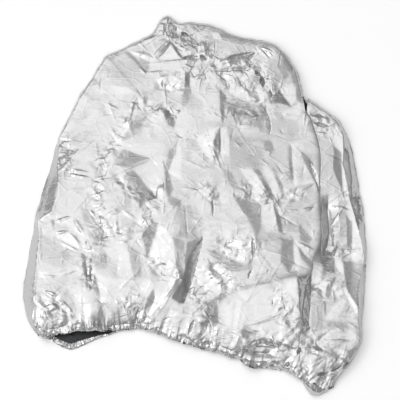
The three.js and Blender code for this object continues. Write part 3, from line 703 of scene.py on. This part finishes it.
crumpled = np.zeros(chart_x.shape)
for x1, v1, x2, v2, half in CRUMPLED:
    patch = patch_of(x1, v1, x2, v2, CRUMPLE_REACH * half)
    away, _ = nearest(chart_x[patch], chart_v[patch], [(x1, v1), (x2, v2)])
    crumpled[patch] = np.maximum(crumpled[patch], soft_fold(away / (CRUMPLE_REACH * half)))
patches = smoothstep(drift(chart_x, chart_v, PATCH_SPACING, seed=71), PATCH_FROM, PATCH_TO)
crumpled = np.maximum(crumpled, PATCHES * patches)
hem_distance, _ = nearest(chart_x, chart_v, hem_line[::3])
crumpled = np.maximum(crumpled, 1 - smoothstep(hem_distance, HEM_CRUMPLE / 2, HEM_CRUMPLE))
slopes = np.zeros((2, *chart_x.shape))
for faces, slope, corners in FACETS:
    paint_facet(slopes, faces, slope, corners)
coarse_x, coarse_v = chart_x[::COARSE, ::COARSE], chart_v[::COARSE, ::COARSE]
rise_v, rise_x = np.gradient(bag_height(coarse_x, coarse_v), COARSE * PIXEL)
flatness = TERRACED * smoothstep(hem_distance, 0, HEM_CRUMPLE)
for slope, rise in zip(slopes, (rise_x, rise_v)):
    swell = np.clip(rise, -STEEP, STEEP).repeat(COARSE, axis=0).repeat(COARSE, axis=1)
    slope -= flatness * swell[:slope.shape[0], :slope.shape[1]]
charted = raised(slopes)
rise_v, rise_x = np.gradient(charted, PIXEL)
left_out = [LEAN_SHARE * (wanted - rise) for wanted, rise in zip(slopes, (rise_x, rise_v))]
crisp_part = [CRISP_SHARE * soften(tilt, SOFTNESS) for tilt in left_out]
soft_part = [(1 - CRISP_SHARE) * soften(tilt, WIDE_SOFTNESS) for tilt in left_out]
left_out = [crisp + soft for crisp, soft in zip(crisp_part, soft_part)]
slopes[:] = 0
for size, calm, rough, stretch, turn, seed in RANDOM_FACETS:
    steepness = calm + (rough - calm) * crumpled
    slopes += steepness * random_facets(chart_x, chart_v, size, stretch, turn, seed)
charted += raised(slopes)
for crease in CREASES:
    press_crease(charted, *crease)
for kind in RANDOM_CREASES:
    scatter(charted, *kind)
charted = soften(charted, SOFTNESS)

# The finest relief, in millimetres.
PACK_WIDTH = 255  # between the packing creases
PACK_LIFT, PACK_SOFT, PACK_STRAY, PACK_DRIFT = 0.35, 14, 12, 160
WANDER = 3  # how far creases stray from straight lines
WANDER_DRIFT = (60, 17, 0.3)
MIDDLE_X, MIDDLE_V = 0.0, -80.0
TURNED_SHARE = 0.55  # of the cloth that the shoulder takes up as it turns down
CALM_RIM, CALM_WIDTH = 0.6, 40  # share of the relief left at the outline, and how far in it is calmed
CASING_WIDTH = 34  # of the hem that the elastic runs in
CASING_BULGE, CASING_GROOVE, GROOVE_WIDTH = 2.0, 0.8, 5
GATHER_STRAY, GATHER_DRIFT = 0.16, 70  # how far gathers slant to the hem
GATHERS = [  # spacing, height, reach up the cloth, seed
    (8, 3.0, 28, 30),
    (13, 4.0, 34, 31),
    (24, 5.0, 60, 32),
    (52, 6.0, 110, 33),
    (105, 6.0, 200, 34),
]
RIM_PLEATS = [(38, 1.4, 34, 41), (85, 3.0, 60, 42)]  # likewise, in from the outline
SEAM_GROOVE, SEAM_WIDTH = 0.5, 6
SEAM_PUCKER, PUCKER_SPACING, PUCKER_REACH = 1.6, 14, 22
PUCKER_MEAN, PUCKER_SPREAD, PUCKER_MOST, PUCKER_DRIFT = 0.5, 0.9, 1.3, 70  # how uneven they are
PUCKER_SLANT, SLANT_DRIFT = 0.5, 50
LONGEST_LINE = 4000
PLEAT_STRAY, LEAST_PLEAT = 0.3, 0.35  # of the spacing, and of the highest pleat
puckered_line = along(PUCKERED_SEAM, coarse)


def pleats_along(where, spacing, seed):
    """Sharp random pleats along a line, between -1 and 1."""
    count = int(LONGEST_LINE / spacing)
    choose = np.random.default_rng(seed)
    at = (np.arange(count) + choose.uniform(-PLEAT_STRAY, PLEAT_STRAY, count)) * spacing
    height = choose.uniform(LEAST_PLEAT, 1, count) * np.where(np.arange(count) % 2, 1, -1)
    return np.interp(where, at, height)


def relief(x, v):
    """How far the creased cloth stands off the smooth one, in mm."""
    from_the_rim, on_the_rim = nearest(x, v, rim_line)
    turned = section(v, 2)
    flat = np.clip(1 - from_the_rim / turned, 0, 1)
    spread = TURNED_SHARE * turned * (np.arcsin(flat) - flat)
    out = np.hypot(x - MIDDLE_X, v - MIDDLE_V) + 1
    flat_x = x + spread * (x - MIDDLE_X) / out
    flat_v = v + spread * (v - MIDDLE_V) / out
    wander_x = WANDER * two_drifts(x, v, *WANDER_DRIFT, seed=91)
    wander_v = WANDER * two_drifts(x, v, *WANDER_DRIFT, seed=93)
    height = read_chart(charted, x + wander_x, v + wander_v)
    pack_v = flat_v + PACK_STRAY * drift(flat_x, flat_v, PACK_DRIFT, seed=5)
    pack_x = flat_x + PACK_STRAY * drift(flat_x, flat_v, PACK_DRIFT, seed=6)
    across_pack = np.abs(pack_v % PACK_WIDTH - PACK_WIDTH / 2)
    up_pack = np.abs(pack_x % PACK_WIDTH - PACK_WIDTH / 2)
    height += PACK_LIFT * (np.exp(-across_pack / PACK_SOFT) - np.exp(-up_pack / PACK_SOFT))
    from_the_seam, on_the_seam = nearest(x, v, puckered_line)
    height -= SEAM_GROOVE * np.exp(-((from_the_seam / SEAM_WIDTH) ** 2))
    uneven = PUCKER_MEAN + PUCKER_SPREAD * drift(x, v, PUCKER_DRIFT, seed=52)
    uneven = np.clip(uneven, 0, PUCKER_MOST)
    slanting = on_the_seam + PUCKER_SLANT * from_the_seam * drift(x, v, SLANT_DRIFT, seed=53)
    puckers = pleats_along(slanting, PUCKER_SPACING, seed=51) * np.exp(-from_the_seam / PUCKER_REACH)
    height += SEAM_PUCKER * uneven * puckers
    from_the_hem, _ = nearest(x, v, hem_line)
    _, on_the_hem = nearest(x, v, HEM_SWEEP)
    stray = GATHER_STRAY * from_the_hem * drift(flat_x, flat_v, GATHER_DRIFT, seed=9)
    on_the_hem = on_the_hem + stray
    height *= CALM_RIM + (1 - CALM_RIM) * smoothstep(from_the_rim, 0, CALM_WIDTH)
    for spacing, lift, reach, seed in GATHERS:
        height += lift * pleats_along(on_the_hem, spacing, seed) * np.exp(-from_the_hem / reach)
    in_casing = np.clip(from_the_hem / CASING_WIDTH, 0, 1)
    height += CASING_BULGE * 4 * in_casing * (1 - in_casing)
    height -= CASING_GROOVE * np.exp(-(((from_the_hem - CASING_WIDTH) / GROOVE_WIDTH) ** 2))
    for spacing, lift, reach, seed in RIM_PLEATS:
        height += lift * pleats_along(on_the_rim, spacing, seed) * np.exp(-from_the_rim / reach)
    return height


def surface_normals(points):
    """Upward unit normals at the points of a panel's grid."""
    across = np.gradient(points, axis=1)
    up = np.gradient(points, axis=0)
    normal = np.cross(across, up)
    return normal / np.maximum(np.linalg.norm(normal, axis=-1, keepdims=True), 1e-12)


CLOTH_THICKNESS = 0.8


def rolled_under(line, inward, steps):
    """Rows that turn the cloth from its outermost line down to the floor and in."""
    rows = []
    for k in range(1, steps + 1):
        angle = k / steps * math.pi / 2
        row = line + inward * EDGE_ROLL * MM * (1 - math.cos(angle))
        row[:, 2] = line[:, 2] + (CLOTH_THICKNESS * MM - line[:, 2]) * math.sin(angle)
        rows.append(row)
    return rows


def inward_of(line, side):
    """Level direction into the bag at each point of a line of its outline."""
    ahead = np.gradient(line, axis=0)
    normal = np.stack([ahead[:, 1], -ahead[:, 0], 0 * ahead[:, 0]], axis=-1) * side
    return normal / np.linalg.norm(normal, axis=-1, keepdims=True)


CASING = 5.0  # radius of the gathered casing at the hem
CURL = math.radians(150)
CURL_STEPS = 7


def curled_hem(edge, inward):
    """Rows that curl the hem round, under the bag, from the last row to the first."""
    rows = []
    for k in range(CURL_STEPS, 0, -1):
        angle = CURL * k / CURL_STEPS
        row = edge + inward * CASING * MM * (1 - math.cos(angle))
        row[:, 2] -= CASING * MM * math.sin(angle)
        rows.append(row)
    return rows


def node(tree, kind, settings=(), links=()):
    """Adds a node with its settings and its links."""
    made = tree.nodes.new(kind)
    for name, value in dict(settings).items():
        if isinstance(name, int) or name in made.inputs:
            made.inputs[name].default_value = value
        else:
            setattr(made, name, value)
    for name, source in dict(links).items():
        tree.links.new(source, made.inputs[name])
    return made


def linear(code):
    """A hex sRGB colour as linear RGBA."""
    parts = [int(code[k:k + 2], 16) / 255 for k in (1, 3, 5)]
    return (*[c / 12.92 if c <= 0.04045 else ((c + 0.055) / 1.055) ** 2.4 for c in parts], 1)


# The smallest flat facets are only tilts of the shading: size in mm, stretch, turn in degrees, tilt, the
# share of it that calm cloth has, and the height in mm of the ridges between them.
SHARDS = [
    (90, 1.8, 60, 0.07, 0.4, 0.50),
    (38, 1.7, -35, 0.10, 0.15, 0.22),
    (14, 1.4, 20, 0.11, 0.0, 0.0),
]
CREASE_WIDTH = 4
PATCH_SCALE = 7  # patches of more and of less tilt, to a metre
PATCHY_FROM, PATCHY_TO = 0.4, 0.62

# Silver-coated polyester taffeta: aluminium paste in a clear binder gives it a satin sheen.
silver = bpy.data.materials.new("silver_coated_taffeta")
silver.use_nodes = True
tree = silver.node_tree
shader = tree.nodes["Principled BSDF"]
shader.inputs["Base Color"].default_value = linear("#c1c1c1")
shader.inputs["Metallic"].default_value = 0.85
shader.inputs["Roughness"].default_value = 0.23
where = node(tree, "ShaderNodeTexCoord").outputs["Object"]
patchy = node(tree, "ShaderNodeTexNoise", {"Scale": PATCH_SCALE, "Detail": 2}, {"Vector": where}).outputs[0]
facing = node(tree, "ShaderNodeNewGeometry").outputs["Normal"]
leaning = node(tree, "ShaderNodeAttribute", {"attribute_name": "lean"}).outputs["Vector"]
facing = node(tree, "ShaderNodeVectorMath", {"operation": "ADD"}, {0: facing, 1: leaning}).outputs[0]
ridges = []
for cell, stretch, turn, tilt, on_calm, rise in SHARDS:
    laid = node(
        tree, "ShaderNodeMapping",
        {"Rotation": (0, 0, math.radians(turn)), "Scale": (1 / stretch, 1, 1)}, {"Vector": where},
    ).outputs[0]
    to_a_metre = 1 / (cell * MM)
    cells = node(tree, "ShaderNodeTexVoronoi", {"Scale": to_a_metre}, {"Vector": laid})
    edges = node(
        tree, "ShaderNodeTexVoronoi",
        {"feature": "DISTANCE_TO_EDGE", "Scale": to_a_metre}, {"Vector": laid},
    )
    centred = node(
        tree, "ShaderNodeVectorMath",
        {"operation": "SUBTRACT", 1: (0.5, 0.5, 0.5)}, {0: cells.outputs["Color"]},
    )
    much = node(
        tree, "ShaderNodeMapRange",
        {"From Min": PATCHY_FROM, "From Max": PATCHY_TO, "To Min": on_calm * tilt, "To Max": tilt},
        {"Value": patchy},
    )
    tilted = node(
        tree, "ShaderNodeVectorMath",
        {"operation": "SCALE"}, {0: centred.outputs[0], "Scale": much.outputs[0]},
    ).outputs[0]
    facing = node(tree, "ShaderNodeVectorMath", {"operation": "ADD"}, {0: facing, 1: tilted}).outputs[0]
    ridge = node(
        tree, "ShaderNodeMapRange",
        {"From Min": 0, "From Max": CREASE_WIDTH / cell, "To Min": rise, "To Max": 0},
        {"Value": edges.outputs["Distance"]},
    )
    ridges.append(ridge.outputs[0])
creases = ridges[0]
for ridge in ridges[1:]:
    creases = node(tree, "ShaderNodeMath", {"operation": "ADD"}, {0: creases, 1: ridge}).outputs[0]
facing = node(tree, "ShaderNodeVectorMath", {"operation": "NORMALIZE"}, {0: facing}).outputs[0]
bump = node(
    tree, "ShaderNodeBump", {"Strength": 1, "Distance": MM}, {"Height": creases, "Normal": facing},
)
tree.links.new(bump.outputs[0], shader.inputs["Normal"])

# The inner side of the same cloth is dark grey: partly the uncoated cloth's own tone, and partly painted
# shade that stands in for the deep shade inside the bag and under its folds.
inner_side_and_shade = bpy.data.materials.new("inner_side_with_painted_shade")
inner_side_and_shade.use_nodes = True
inner_side_and_shade_shader = inner_side_and_shade.node_tree.nodes["Principled BSDF"]
inner_side_and_shade_shader.inputs["Base Color"].default_value = linear("#2a2b2d")
inner_side_and_shade_shader.inputs["Metallic"].default_value = 0.2
inner_side_and_shade_shader.inputs["Roughness"].default_value = 0.45

FLOOR_GAP = 1.2  # the least height of the middle of any cloth
CRISP = math.radians(25)  # from which an edge between two faces is a sharp crease
LEAST_HEIGHT = 4  # so that the top cloth never sinks through the lower one


def make_panel(name, points, most):
    """A panel from its rows of points, thinned to so many triangles and then given its thickness."""
    rows, columns = points.shape[:2]
    corner = np.arange(rows * columns).reshape(rows, columns)
    quads = np.stack([corner[:-1, :-1], corner[:-1, 1:], corner[1:, 1:], corner[1:, :-1]], axis=-1)
    points[..., 2] = np.maximum(points[..., 2], FLOOR_GAP * MM)
    mesh = bpy.data.meshes.new(name)
    mesh.from_pydata(points.reshape(-1, 3).tolist(), [], quads.reshape(-1, 4).tolist())
    panel = bpy.data.objects.new(name, mesh)
    bpy.context.collection.objects.link(panel)
    bpy.ops.object.select_all(action="DESELECT")
    panel.select_set(True)
    bpy.context.view_layer.objects.active = panel
    bpy.ops.object.mode_set(mode="EDIT")
    bpy.ops.mesh.select_all(action="SELECT")
    bpy.ops.mesh.remove_doubles(threshold=0.02 * MM)
    bpy.ops.object.mode_set(mode="OBJECT")
    thin = panel.modifiers.new("thin", "DECIMATE")
    thin.ratio = min(1, most / (quads.size / 2))
    bpy.ops.object.modifier_apply(modifier="thin")
    for material in (silver, inner_side_and_shade):
        panel.data.materials.append(material)
    cloth = panel.modifiers.new("cloth", "SOLIDIFY")
    cloth.thickness = CLOTH_THICKNESS * MM
    cloth.offset = -1
    # The inner faces take the dark inner side, which is partly painted shade.
    cloth.material_offset = 1
    bpy.ops.object.modifier_apply(modifier="cloth")
    bpy.ops.object.shade_smooth_by_angle(angle=CRISP)
    faces = panel.data.polygons
    middles = np.empty(3 * len(faces))
    faces.foreach_get("center", middles)
    x, y, z = middles.reshape(-1, 3).T / MM
    v = y * math.cos(LEAN) + z * math.sin(LEAN)
    lean = np.stack([-read_chart(left_out[0], x, v), -read_chart(left_out[1], x, v), 0 * x], axis=-1)
    kept_lean = panel.data.attributes.new("lean", "FLOAT_VECTOR", "FACE")
    kept_lean.data.foreach_set("vector", lean.ravel())
    return panel


def creased_cloth(chart, height):
    """The smooth cloth and the creased one, from a chart and the function of its height."""
    x, v = chart[..., 0], chart[..., 1]
    smooth = place(x, v, height(x, v))
    points = smooth + surface_normals(smooth) * relief(x, v)[..., None] * MM
    points[..., 2] = np.maximum(points[..., 2], LEAST_HEIGHT * MM)
    return smooth, points


across_front = np.linspace(0, 1, FRONT_COLUMNS + 1)
puckered = along(PUCKERED_SEAM, from_hem)
pleat_rows = ROWS - FLAP_ROWS
pleat = along(PLEAT_EDGE, np.linspace(0, 1, pleat_rows + 1))
flap = along(FLAP_SEAM, np.linspace(0, 1, FLAP_ROWS + 1))
roof_seam = along(ROOF_SEAM, across_front)
front_hem = along(FRONT_HEM, across_front)
chart = fill(front_hem, roof_seam, puckered, np.vstack([pleat, flap[1:]]), across_front, from_hem)
smooth, creased = creased_cloth(chart, front_height)
curl = curled_hem(creased[0], -inward_of(smooth[0], 1))
front_points = np.concatenate([np.array(curl), creased])
front = make_panel("front_side_cloth", front_points, most=96000)
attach(front, "root")
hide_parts("front_side_panel")

# Left end panel
# One end of the cover, of the same silver taffeta. It is sewn to the front along the puckered seam, and
# its other half is turned under at the outline, where the cover is folded flat.
LEFT_COLUMNS = 90
ROLL_STEPS = 8
from_left_edge = 1 - np.cos(np.linspace(0, math.pi / 2, LEFT_COLUMNS + 1))
left_hem = along(LEFT_HEM, from_left_edge)
left_roof = along(LEFT_ROOF_SEAM, from_left_edge)
left_edge = along(LEFT_EDGE, from_hem)
chart = fill(left_hem, left_roof, left_edge, puckered, from_left_edge, from_hem)
smooth, left_points = creased_cloth(chart, front_height)
left_points[:, -1] = creased[:, 0]
roll = rolled_under(left_points[:, 0], inward_of(smooth[:, 0], 1), ROLL_STEPS)
left_points = np.concatenate([np.stack(roll[::-1], axis=1), left_points], axis=1)
left_body = left_points
hem_inward = -inward_of(np.concatenate([left_body[0, :ROLL_STEPS], smooth[0]]), 1)
curl = curled_hem(left_points[0], hem_inward)
left_points = np.concatenate([np.array(curl), left_points])
left = make_panel("left_end_cloth", left_points, most=80000)
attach(left, "root")
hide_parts("left_end_panel")

# Roof panel
# The top of the cover, a crescent of the same taffeta with a gathered peak at its left and a flap down
# the right shoulder. It is sewn to the left end and the front, and turned under at the far edge.
ROOF_ROWS = 90
to_roof_edge = np.sin(np.linspace(0, math.pi / 2, ROOF_ROWS + 1))
bottom = np.vstack([left_roof, roof_seam[1:], flap[::-1][1:]])
roof_edge = along(ROOF_EDGE, np.linspace(0, 1, len(bottom)))
roof_left = np.repeat(bottom[:1], ROOF_ROWS + 1, axis=0)
roof_right = bottom[-1] + (roof_edge[-1] - bottom[-1]) * to_roof_edge[:, None]
chart = fill(bottom, roof_edge, roof_left, roof_right, np.linspace(0, 1, len(bottom)), to_roof_edge)
smooth, roof_points = creased_cloth(chart, front_height)
roof_points[0] = np.vstack([left_body[-1, ROLL_STEPS:], creased[-1, 1:], creased[pleat_rows:-1, -1][::-1]])
roll = rolled_under(roof_points[-1], inward_of(smooth[-1], 1), ROLL_STEPS)
roof_points = np.concatenate([roof_points, roll])
roof = make_panel("roof_cloth", roof_points, most=80000)
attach(roof, "root")
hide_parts("roof_panel")

# Right end panel
# The other end of the cover, of the same taffeta. It comes out from under the front's free edge, where
# the slack cloth has dropped into a deep pleat, and it is turned under at the outline.
RIGHT_COLUMNS = 100
RIGHT_ROWS = 360
LAP, LAP_AT_TOP, LAP_NARROWS = 26, -10, 0.93  # how far it lies under the front, and from where it tapers
to_right_edge = np.sin(np.linspace(0, math.pi / 2, RIGHT_COLUMNS + 1))
up_pleat = np.linspace(0, 1, RIGHT_ROWS + 1)
lap = LAP + (LAP_AT_TOP - LAP) * smoothstep(up_pleat, LAP_NARROWS, 1)
lap_edge = along(PLEAT_EDGE, up_pleat) - np.stack([lap, 0 * lap], axis=-1)
right_hem = along(RIGHT_HEM, to_right_edge)
lap_edge[0] = right_hem[0]
right_edge = along(RIGHT_EDGE, up_pleat)
right_top = lap_edge[-1] + (right_edge[-1] - lap_edge[-1]) * to_right_edge[:, None]
chart = fill(right_hem, right_top, lap_edge, right_edge, to_right_edge, up_pleat)
smooth, right_points = creased_cloth(chart, right_height)
roll = rolled_under(right_points[:, -1], inward_of(smooth[:, -1], -1), ROLL_STEPS)
right_points = np.concatenate([right_points, np.stack(roll, axis=1)], axis=1)
curl = curled_hem(right_points[0], -inward_of(right_points[0], 1))
right_points = np.concatenate([np.array(curl), right_points])
right = make_panel("right_end_cloth", right_points, most=80000)
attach(right, "root")
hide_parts("right_end_panel")

# Back side panel
# The other long side, of the same taffeta, lies on the floor with low rucks. It is sewn to both ends and
# to the roof out of sight, and its own gathered hem shows as the lower lip of the left mouth.
BACK_HEM = [
    (-752, -672), (-707, -697), (-634, -730), (-606, -730), (-550, -709), (-487, -681), (-417, -659),
    (-347, -636), (-262, -628), (-178, -654), (-68, -694), (22, -728), (112, -738),
    (202, -772), (272, -822), (382, -826), (462, -836), (522, -880), (582, -940), (640, -925),
]
BACK_ROWS, BACK_COLUMNS = 130, 600
BACK_CROWDING = 1.6  # crowds the rows towards the hem
BACK_INSET = 14  # in from the outline, where the upper cloth meets the floor
BACK_LIFT = 1.6  # of the cloth above the floor, where it is smooth
RUCK = 12  # height of the rucks
RUCK_DRIFT = (22, 9, 0.7)
HEADROOM_FROM, HEADROOM_TO = 20, 60  # height of the upper cloth over which the rucks rise
LIP = [  # share of the width in from the fold, height, gathers: the hem's casing, turned in over the cloth
    (1.02, 7, 1.5), (0.95, 9, 2.5), (0.80, 10, 3.0), (0.62, 9, 3.0), (0.45, 10, 3.0), (0.27, 9, 3.0),
    (0.1, 9, 2.5), (-0.05, 6, 1.5),
]
LIP_NARROWS, LIP_WIDTHS = (-570, -440), (28, 9)  # from and to which x it narrows, and its widths there
LIP_SLANT, LIP_DRIFT, LIP_ROW = 5, 30, 25.0
LIP_GATHERS = [(6, 0.8, 35), (17, 0.7, 37)]  # spacing, height, seed
across_back = np.linspace(0, 1, BACK_COLUMNS + 1)
up_back = np.linspace(0, 1, BACK_ROWS + 1) ** BACK_CROWDING


def floor_line(table, shares, side):
    """A line of the outline, rolled in to where the cloth meets the floor."""
    flat = along(table, shares)
    line = place(flat[:, 0], flat[:, 1], np.full(len(flat), float(EDGE_HEIGHT)))
    line = line + inward_of(line, side) * BACK_INSET * MM
    return line[:, :2]


back_left = floor_line(LEFT_EDGE, up_back, 1)
back_right = floor_line(RIGHT_EDGE[:-2], up_back, -1)
back_top = floor_line(ROOF_EDGE + RIGHT_EDGE[:-4:-1], across_back, 1)
flat = along(BACK_HEM, across_back)
back_bottom = place(flat[:, 0], flat[:, 1], np.zeros(len(flat)))[:, :2]
back_left[0], back_right[0] = back_bottom[0], back_bottom[-1]
back_top[0], back_top[-1] = back_left[-1], back_right[-1]
plan = fill(back_bottom, back_top, back_left, back_right, across_back, up_back)
x, v = plan[..., 0] / MM, plan[..., 1] / MM * math.cos(LEAN)
above = np.minimum(bag_height(x, v), right_height(x, v))
rucked = np.clip(two_drifts(x, v, *RUCK_DRIFT, seed=38), 0, 1)
rucked = rucked * smoothstep(above, HEADROOM_FROM, HEADROOM_TO)
back_points = np.concatenate([plan, (BACK_LIFT + RUCK * rucked)[..., None] * MM], axis=-1)
hem_inward = -inward_of(back_points[0], 1)
steps = np.linalg.norm(np.diff(back_points[0], axis=0), axis=1)
on_hem = np.concatenate([[0], np.cumsum(steps)]) / MM
lip_width = np.interp(back_points[0][:, 0] / MM, LIP_NARROWS, LIP_WIDTHS)[:, None]
lip = []
for k, (inside, height, lift) in enumerate(LIP):
    slant = on_hem + LIP_SLANT * drift(on_hem, LIP_ROW * k + 0 * on_hem, LIP_DRIFT, seed=36)
    gather = sum(share * pleats_along(slant, spacing, seed) for spacing, share, seed in LIP_GATHERS)
    gather = gather[:, None]
    row = back_points[0] + hem_inward * (inside * lip_width + lift * gather) * MM
    row[:, 2:] = (height + lift * gather) * MM
    lip.append(row)
back_points = np.concatenate([np.array(lip), back_points])
back = make_panel("back_side_cloth", back_points[:, ::-1], most=40000)
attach(back, "root")
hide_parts("back_side_panel")

# Studio
# The cover lies on a wide sheet of white paper, under a white sky that is brightest overhead and to the
# left, with one soft lamp at the left.
FLOOR_SIDE = 300
bpy.ops.mesh.primitive_plane_add(size=FLOOR_SIDE)
floor = bpy.context.object
floor.name = "floor"
paper = bpy.data.materials.new("white_paper")
paper.use_nodes = True
paper_shader = paper.node_tree.nodes["Principled BSDF"]
paper_shader.inputs["Base Color"].default_value = linear("#ffffff")
paper_shader.inputs["Roughness"].default_value = 0.9
floor.data.materials.append(paper)

# The sky is brightest overhead and to the left, dims towards the horizon, and is white just above it.
SKY_AXIS = (-0.55, 0.04, 0.80)
SKY_FROM, SKY_TO = 0.30, 1.13
SKY_LOW, SKY_HIGH = 0.54, 1.93
DIM_FROM, DIM_TO = 0.2, 0.7  # height in the sky over which the light dims
DIMMED = 0.25  # share of the light that is left below that
COVE_FROM, COVE_TO = 0.07, 0.16  # height in the sky over which the white cove ends
COVE = 0.97
world = bpy.data.worlds.new("studio")
world.use_nodes = True
tree = world.node_tree
ahead = node(tree, "ShaderNodeTexCoord").outputs["Generated"]
height = node(tree, "ShaderNodeVectorMath", {"operation": "DOT_PRODUCT"}, {0: ahead})
height.inputs[1].default_value = Vector(SKY_AXIS).normalized()
glow = node(
    tree, "ShaderNodeMapRange",
    {
        "interpolation_type": "SMOOTHSTEP", "From Min": SKY_FROM, "From Max": SKY_TO,
        "To Min": SKY_LOW, "To Max": SKY_HIGH,
    },
    {"Value": height.outputs["Value"]},
).outputs[0]
upward = node(tree, "ShaderNodeSeparateXYZ", {}, {0: ahead}).outputs["Z"]
kept = node(
    tree, "ShaderNodeMapRange",
    {"From Min": DIM_FROM, "From Max": DIM_TO, "To Min": DIMMED, "To Max": 1}, {"Value": upward},
).outputs[0]
dimmed = node(tree, "ShaderNodeMath", {"operation": "MULTIPLY"}, {0: glow, 1: kept}).outputs[0]
cove = node(
    tree, "ShaderNodeMapRange",
    {"From Min": COVE_FROM, "From Max": COVE_TO, "To Min": COVE, "To Max": 0}, {"Value": upward},
).outputs[0]
lit = node(tree, "ShaderNodeMath", {"operation": "MAXIMUM"}, {0: dimmed, 1: cove}).outputs[0]
tree.links.new(lit, tree.nodes["Background"].inputs["Strength"])
tree.nodes["Background"].inputs["Color"].default_value = linear("#ffffff")
bpy.context.scene.world = world
bpy.context.scene.view_settings.view_transform = "Standard"

KEY_PLACE, KEY_SIZE, KEY_POWER = (-3.0, -1.2, 3.6), 1.4, 18
key = bpy.data.objects.new("key", bpy.data.lights.new("key", "AREA"))
key.data.size = KEY_SIZE
key.data.energy = KEY_POWER
key.location = KEY_PLACE
key.rotation_euler = Vector([-c for c in KEY_PLACE]).to_track_quat("-Z", "Y").to_euler()
key.visible_camera = False
bpy.context.collection.objects.link(key)
